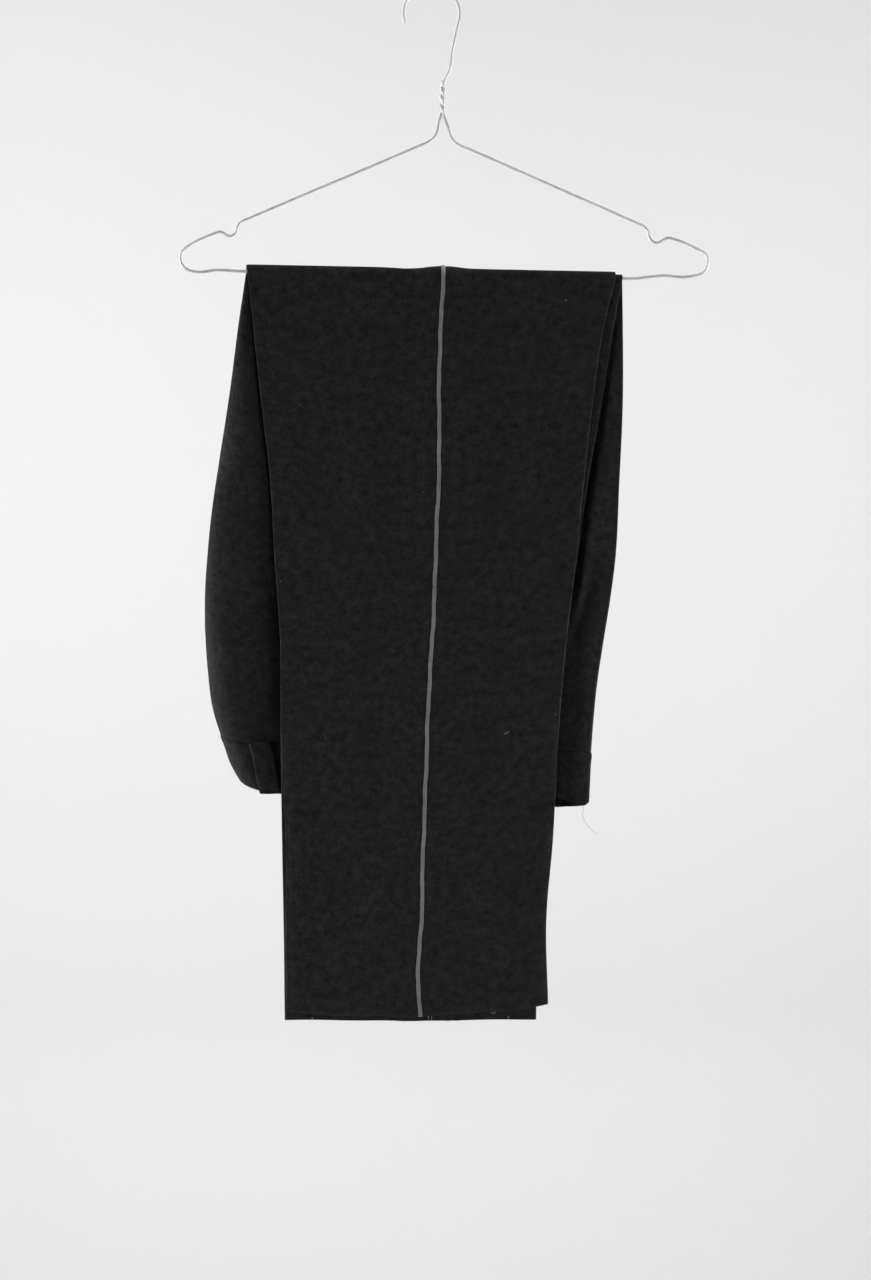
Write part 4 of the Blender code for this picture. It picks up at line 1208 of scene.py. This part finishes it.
WAVER = {0: [(0.12, 23, 0)], 1: [(0.18, 31, 1), (0.09, 13, 0)], 2: [(0.12, 37, 2)]}


def eased(route):
    """The route with a point 7 mm inside both ends of each long stretch, so that only its ends bend."""
    p = np.array(route, float)
    out = [p[:1]]
    for a, b in zip(p[:-1], p[1:]):
        length = np.linalg.norm(b - a)
        if length > LONG_STRETCH:
            out.append(a + (b - a) * np.array([[EASE / length], [1 - EASE / length]]))
        out.append(b[None])
    return np.vstack(out)


def rounded(route, spacing):
    """A cubic between each two points; a heading is the mean of both sides', weighted to the nearer one."""
    p = np.array(route, float)
    before = np.vstack([2 * p[0] - p[1], p[:-1]])
    after = np.vstack([p[1:], 2 * p[-1] - p[-2]])
    gap_in = np.linalg.norm(p - before, axis=1, keepdims=True)
    gap_out = np.linalg.norm(after - p, axis=1, keepdims=True)
    heading = unit((p - before) / gap_in * gap_out + (after - p) / gap_out * gap_in)
    out = [p[:1]]
    for a, b, u, v in zip(p[:-1], p[1:], heading[:-1], heading[1:]):
        length = np.linalg.norm(b - a)
        out.append(cubic(steps(max(2, round(length / spacing)))[:, None], a, b, length * u, length * v))
    return np.vstack(out)


def strand(phase):
    """One wire of the twist: a helix round the line from its top to its bottom, a wire's radius off it."""
    t = np.linspace(0, 1, 30 * TWIST_TURNS + 1)[:, None]
    a = phase + 2 * math.pi * TWIST_TURNS * t
    off = (WIRE_RADIUS / MM + TWIST_SPACE) * np.hstack([np.cos(a), np.sin(a), 0 * a])
    return TWIST_TOP + (TWIST_BOTTOM - TWIST_TOP) * t + off


def in_plane(p):
    """X and Z as points in the hanger's plane."""
    return np.column_stack([p[:, 0], np.zeros(len(p)), p[:, 1]])


def even_route(points, spacing):
    """The route at even steps along its length."""
    run = runs(points[:, None], 0)[:, 0]
    at = np.linspace(0, run[-1], int(run[-1] / spacing))
    return np.column_stack([np.interp(at, run, points[:, k]) for k in range(3)])


def smoothed(points, width, spacing):
    """A bell-weighted mean along an even route; both ends stay where they are."""
    reach = int(3 * width / spacing)
    weight = bell(np.arange(-reach, reach + 1) * spacing, width)
    weight /= weight.sum()
    before = 2 * points[0] - points[reach:0:-1]
    padded = np.vstack([before, points, 2 * points[-1] - points[-2 : -reach - 2 : -1]])
    return np.column_stack([np.convolve(padded[:, k], weight, "valid") for k in range(3)])


def tube(name, route, radius, material, sides=16):
    """A circle carried along a route, with low domed ends; its UV map runs around and along."""
    size = np.full(len(route), radius)
    for from_end, share in TAPER.items():
        size[[from_end, -1 - from_end]] *= share
    points, faces = swept([route], [size], [(0, 1.0, 0)], sides)
    around = radius * 2 * math.pi * np.arange(sides) / sides + 0 * route[:, :1]
    along = runs(route[:, None], 0) + 0 * around
    return mesh_object(name, points, faces, material, np.stack([around, along], axis=-1).reshape(-1, 2))


WIRE, given, result = new_group("drawn_wire", [("Place", "Vector", None), ("Shade", "Color", grey(0.6))])
calc = partial(arithmetic, WIRE)
in_mm = stretched(WIRE, given["Place"], (1000, 1000, 1000))
die_lines = noise(WIRE, stretched(WIRE, in_mm, (7, 0.25, 1)), 1.0, 3.0)
dull = between(WIRE, noise(WIRE, in_mm, 0.12, 4.0, 0.6), 0.4, 0.7, 1.0)
shade = calc("MULTIPLY", calc("MULTIPLY_ADD", die_lines, 0.2, 0.9), calc("MULTIPLY_ADD", dull, -0.22, 1.0))
roughness = calc("MULTIPLY_ADD", dull, 0.2, 0.3)
close_group(WIRE, result, given["Shade"], shade, roughness, die_lines, 0.3, 0.1 * MM)
STEEL = new_material("bright_wire", {"Metallic": 0.3}, WIRE, {"Shade": grey(0.62)})

a = np.radians(np.linspace(*HOOK_ANGLES, 56))
hook_middle = (HOOK_SHIFT, WIRE_RADIUS / MM - HOOK_RADIUS)
arc = hook_middle + HOOK_RADIUS * np.column_stack([np.cos(a), np.sin(a)])
stem = rounded(np.vstack([arc[-2:], STEM]), ROUTE_STEP)[4:]
frame_route = rounded(eased(RIGHT_ARM + RIGHT_END + LEFT_END[::-1] + LEFT_ARM[::-1]), ROUTE_STEP)
whole = np.vstack([in_plane(arc), in_plane(stem), strand(0.0), in_plane(frame_route), strand(math.pi)[::-1]])
route = smoothed(even_route(whole, FINE_STEP), SMOOTHING, FINE_STEP)[::2]
run = np.arange(1, len(route) + 1)
in_frame = rising((FRAME_TOP - route[:, 2]) / ROUTE_FADE)
for axis, rows in WAVER.items():
    route[:, axis] += sum(height * np.sin(run / length + phase) for height, length, phase in rows) * in_frame
route[:, 2] -= bar_dip(route[:, 0] * MM) / MM * rising((BAR_TOP - route[:, 2]) / ROUTE_FADE)
hanger = tube("hanger_wire", route * MM, WIRE_RADIUS, STEEL)
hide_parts("hook_wire", "arm_left", "arm_right", "bar_wire")
print("wire length", round(len(route) * 2 * FINE_STEP / 1000, 2), "m of route")

# %% [markdown]
# ## Lint and loose threads
# Dark wool shows every speck. The photograph has a few pale fibres on the near leg, a curl low on
# its right, one fine thread hanging from the waistband and short ends at the hem. Each is a hair-thin
# tube along a short curved route, set on the cloth by its pixel in the photograph.

# %% Fibres on the cloth and at the hem
SPECKS = [  # u, v, length in mm, heading, bend
    (300, 405, 0.9, 0.3, 1.2), (280, 582, 1.2, 1.2, 0.8), (566, 301, 1.5, 1.7, 0.5),
    (423, 492, 1.3, 0.2, 2.4), (504, 733, 4.6, 0.35, 1.9), (326, 739, 0.9, 2.0, 0.7),
    (555, 715, 0.8, 0.8, 0.6), (351, 640, 0.5, 1.0, 0.5),
]
SPECK_PROUD = 0.12 * MM
HEM_END_COUNT = 16
HEM_END_U = (446, 457)
HEM_END_V = 1018.5
HEM_END_Y = -4.5 * MM
HEM_END_SPREAD = 1 * MM
HEM_END_LENGTH = (1.6 * MM, 3.0 * MM)
DOWN = -1.57
PALE_ENDS = [(429, 1015), (431, 1016), (491, 1011), (494, 1010), (312, 1017), (509, 1016)]
PALE_END_Y = -7.0 * MM
PALE_END_LENGTH = 3.0 * MM
PALE_DOWN = -1.4
THREAD_PIXELS = [(585, 800), (583.6, 809), (583, 815), (586, 823), (592, 830), (597, 834)]
THREAD_Y = 9 * MM
THREAD_MIDDLE = (2.7 * MM, -511 * MM)
THREAD_SCALE = 1.006
HAIR_SIDES = 5


def front_face(z, x):
    """The near leg's outer face at a height: minus the sum of middle, outer depth and sway."""
    fall = np.array([[z - bar_height(x)]])
    m = section("right", np.zeros((1, 1)), fall)
    there = np.array([[x]])
    return -float((m["middle"] + outer_face(m, there) + leg_sway(there, fall))[0, 0])


def curl(start, heading, length, bend):
    """A flat curve in X and Z: its heading turns evenly by bend radians over its length."""
    t = np.linspace(0, 1, 9)
    angle = heading + bend * (t - 0.5)
    step = np.column_stack([np.cos(angle), 0 * angle, np.sin(angle)]) * length / (len(t) - 1)
    return np.array(start) + np.cumsum(step, axis=0) - step[0]


def fibres(name, routes, radius, material):
    """All fibres as one mesh of five-sided hairs, each carried along its own route."""
    points, faces = swept(routes, [radius] * len(routes), [(0, 1.0, 0.02)] * len(routes), HAIR_SIDES)
    return mesh_object(name, points, faces, material)


DUSTY = {"Roughness": 0.9, "Specular IOR Level": 0.1}
LINT = new_material("pale_lint", {**DUSTY, "Base Color": grey(0.42)})
DARK_FIBRE = new_material("dark_fibre", {**DUSTY, "Base Color": grey(0.03)})
GREY_THREAD = new_material("grey_thread", {"Base Color": grey(0.2), "Roughness": 0.8})
specks = []
for u, v, length, heading, bend in SPECKS:
    x, z = from_pixel(u, v)
    specks.append(curl((x, front_face(z, x) - SPECK_PROUD, z), heading, length * MM, bend))
lint = fibres("lint_specks", specks, 0.1 * MM, LINT)

rng = np.random.default_rng(7)


def about(middle, reach):
    """A random number no further than reach from a middle."""
    return middle + rng.uniform(-reach, reach)


ends = []
for _ in range(HEM_END_COUNT):
    x, z = from_pixel(rng.uniform(*HEM_END_U), HEM_END_V)
    start = (x, about(HEM_END_Y, HEM_END_SPREAD), z)
    ends.append(curl(start, about(DOWN, 0.9), rng.uniform(*HEM_END_LENGTH), about(0, 1.5)))
pale_ends = []
for u, v in PALE_ENDS:
    x, z = from_pixel(u, v)
    pale_ends.append(curl((x, PALE_END_Y, z), about(PALE_DOWN, 0.5), PALE_END_LENGTH, about(0, 2)))
hem_ends = fibres("hem_thread_ends", ends, 0.2 * MM, DARK_FIBRE)
pale_hem_ends = fibres("pale_hem_ends", pale_ends, 0.13 * MM, LINT)

thread_line = rounded(THREAD_PIXELS, 1.5) - np.array(PHOTO_SIZE) / 2
loose = np.column_stack([
    THREAD_MIDDLE[0] + thread_line[:, 0] * PIXEL * THREAD_SCALE,
    np.full(len(thread_line), THREAD_Y),
    THREAD_MIDDLE[1] - thread_line[:, 1] * PIXEL * THREAD_SCALE,
])
loose_thread = fibres("loose_thread", [loose], 0.14 * MM, GREY_THREAD)
print("specks", len(specks), "ends", len(ends))

# %% [markdown]


# %% [markdown]
# ## Stage and light
# The photograph has an even, pale backdrop and soft light from both sides, which draws a lighter rim
# down each edge of the dark cloth. A pale floor far below curves up into a wall well behind the
# hanger. Two softboxes and two narrow edge lights stand left and right, weak lights fill from above
# and from the front, and three washes light the wall and the floor alone. The edge, top and floor
# lights are kept out of reflections, or the wire would show hard streaks. The world is dim for the
# cloth and paler where the camera sees it past the sweep.

# %% Sweep, lights and world
FLOOR_Z = -2.0
FLOOR_FRONT = -1.6
WALL_Y = 3.2
WALL_TOP = 4.0
SWEEP = 0.6
SWEEP_SIDE = 4.0
CENTRE = (0, 0, -0.5)
LIGHTS = [  # name, place, aim, width and height, watts, spread in degrees, shows in reflections
    ("left_softbox", (-1.6, -0.8, -0.9), CENTRE, (0.8, 1.4), 21.0, 180, True),
    ("right_softbox", (1.6, -0.75, -0.9), CENTRE, (0.8, 1.4), 20.2, 180, True),
    ("left_edge_light", (-1.45, 0.2, -0.42), (0, 0, -0.42), (0.2, 1.2), 6.6, 40, False),
    ("right_edge_light", (1.45, 0.2, -0.5), CENTRE, (0.2, 1.6), 6.0, 40, False),
    ("top_light", (0.0, -0.05, 1.2), CENTRE, (1.2, 0.4), 5, 60, False),
    ("floor_wash", (0.0, -0.1, -1.25), (0, -0.1, -3.0), (6.0, 3.0), 14, 180, False),
    ("front_soft", (0.2, -2.6, 0.3), CENTRE, (1.6, 1.2), 3.6, 180, True),
    ("wall_wash_left", (-2.0, 1.2, 0.15), (-0.1, WALL_Y, -0.05), (0.6, 3.2), 30.5, 130, True),
    ("wall_wash_right", (2.0, 1.2, 0.15), (0.1, WALL_Y, -0.05), (0.6, 3.2), 24, 130, True),
]
WORLD_FOR_CLOTH = 0.06
WORLD_FOR_CAMERA = 0.6

bend = np.radians(np.linspace(0, 90, 13))[1:]
curve = np.column_stack([WALL_Y - SWEEP + SWEEP * np.sin(bend), FLOOR_Z + SWEEP - SWEEP * np.cos(bend)])
profile = np.vstack([[(FLOOR_FRONT, FLOOR_Z), (WALL_Y - SWEEP, FLOOR_Z)], curve, [(WALL_Y, WALL_TOP)]])
both_sides = np.array([-SWEEP_SIDE, SWEEP_SIDE])
sweep_points = [(x, y, z) for y, z in profile for x in both_sides]
PAPER = new_material("pale_paper", {**DUSTY, "Base Color": grey(0.8), "Roughness": 0.95})
sweep = mesh_object("pale_sweep", np.array(sweep_points), grid_faces(len(profile), 2), PAPER, rides=False)


def soft_light(name, location, aim, size, watts, spread, mirrored):
    """A rectangular area light at a place, turned to a point; a small spread keeps it off the wall."""
    data = bpy.data.lights.new(name, "AREA")
    data.shape = "RECTANGLE"
    data.size, data.size_y = size
    data.energy = watts
    data.spread = math.radians(spread)
    light = bpy.data.objects.new(name, data)
    towards = np.array(aim) - np.array(location)
    yaw = math.atan2(towards[1], towards[0]) - math.pi / 2
    pitch = math.atan2(towards[2], math.hypot(towards[0], towards[1]))
    light.rotation_euler = (math.pi / 2 + pitch, 0, yaw)
    light.location = location
    light.visible_glossy = mirrored
    bpy.context.scene.collection.objects.link(light)


for row in LIGHTS:
    soft_light(*row)
world = bpy.data.worlds.new("soft_room")
world.use_nodes = True
background = world.node_tree.nodes["Background"]
background.inputs["Color"].default_value = grey(0.9)
ray = add(world.node_tree, "ShaderNodeLightPath")
strength = add(world.node_tree, "ShaderNodeMapRange", {
    "Value": ray.outputs["Is Camera Ray"], "To Min": WORLD_FOR_CLOTH, "To Max": WORLD_FOR_CAMERA,
})
world.node_tree.links.new(strength.outputs["Result"], background.inputs["Strength"])
bpy.context.scene.world = world
bpy.context.scene.view_settings.view_transform = "Standard"
bpy.context.scene.view_settings.look = "None"
print("lights", len(LIGHTS))
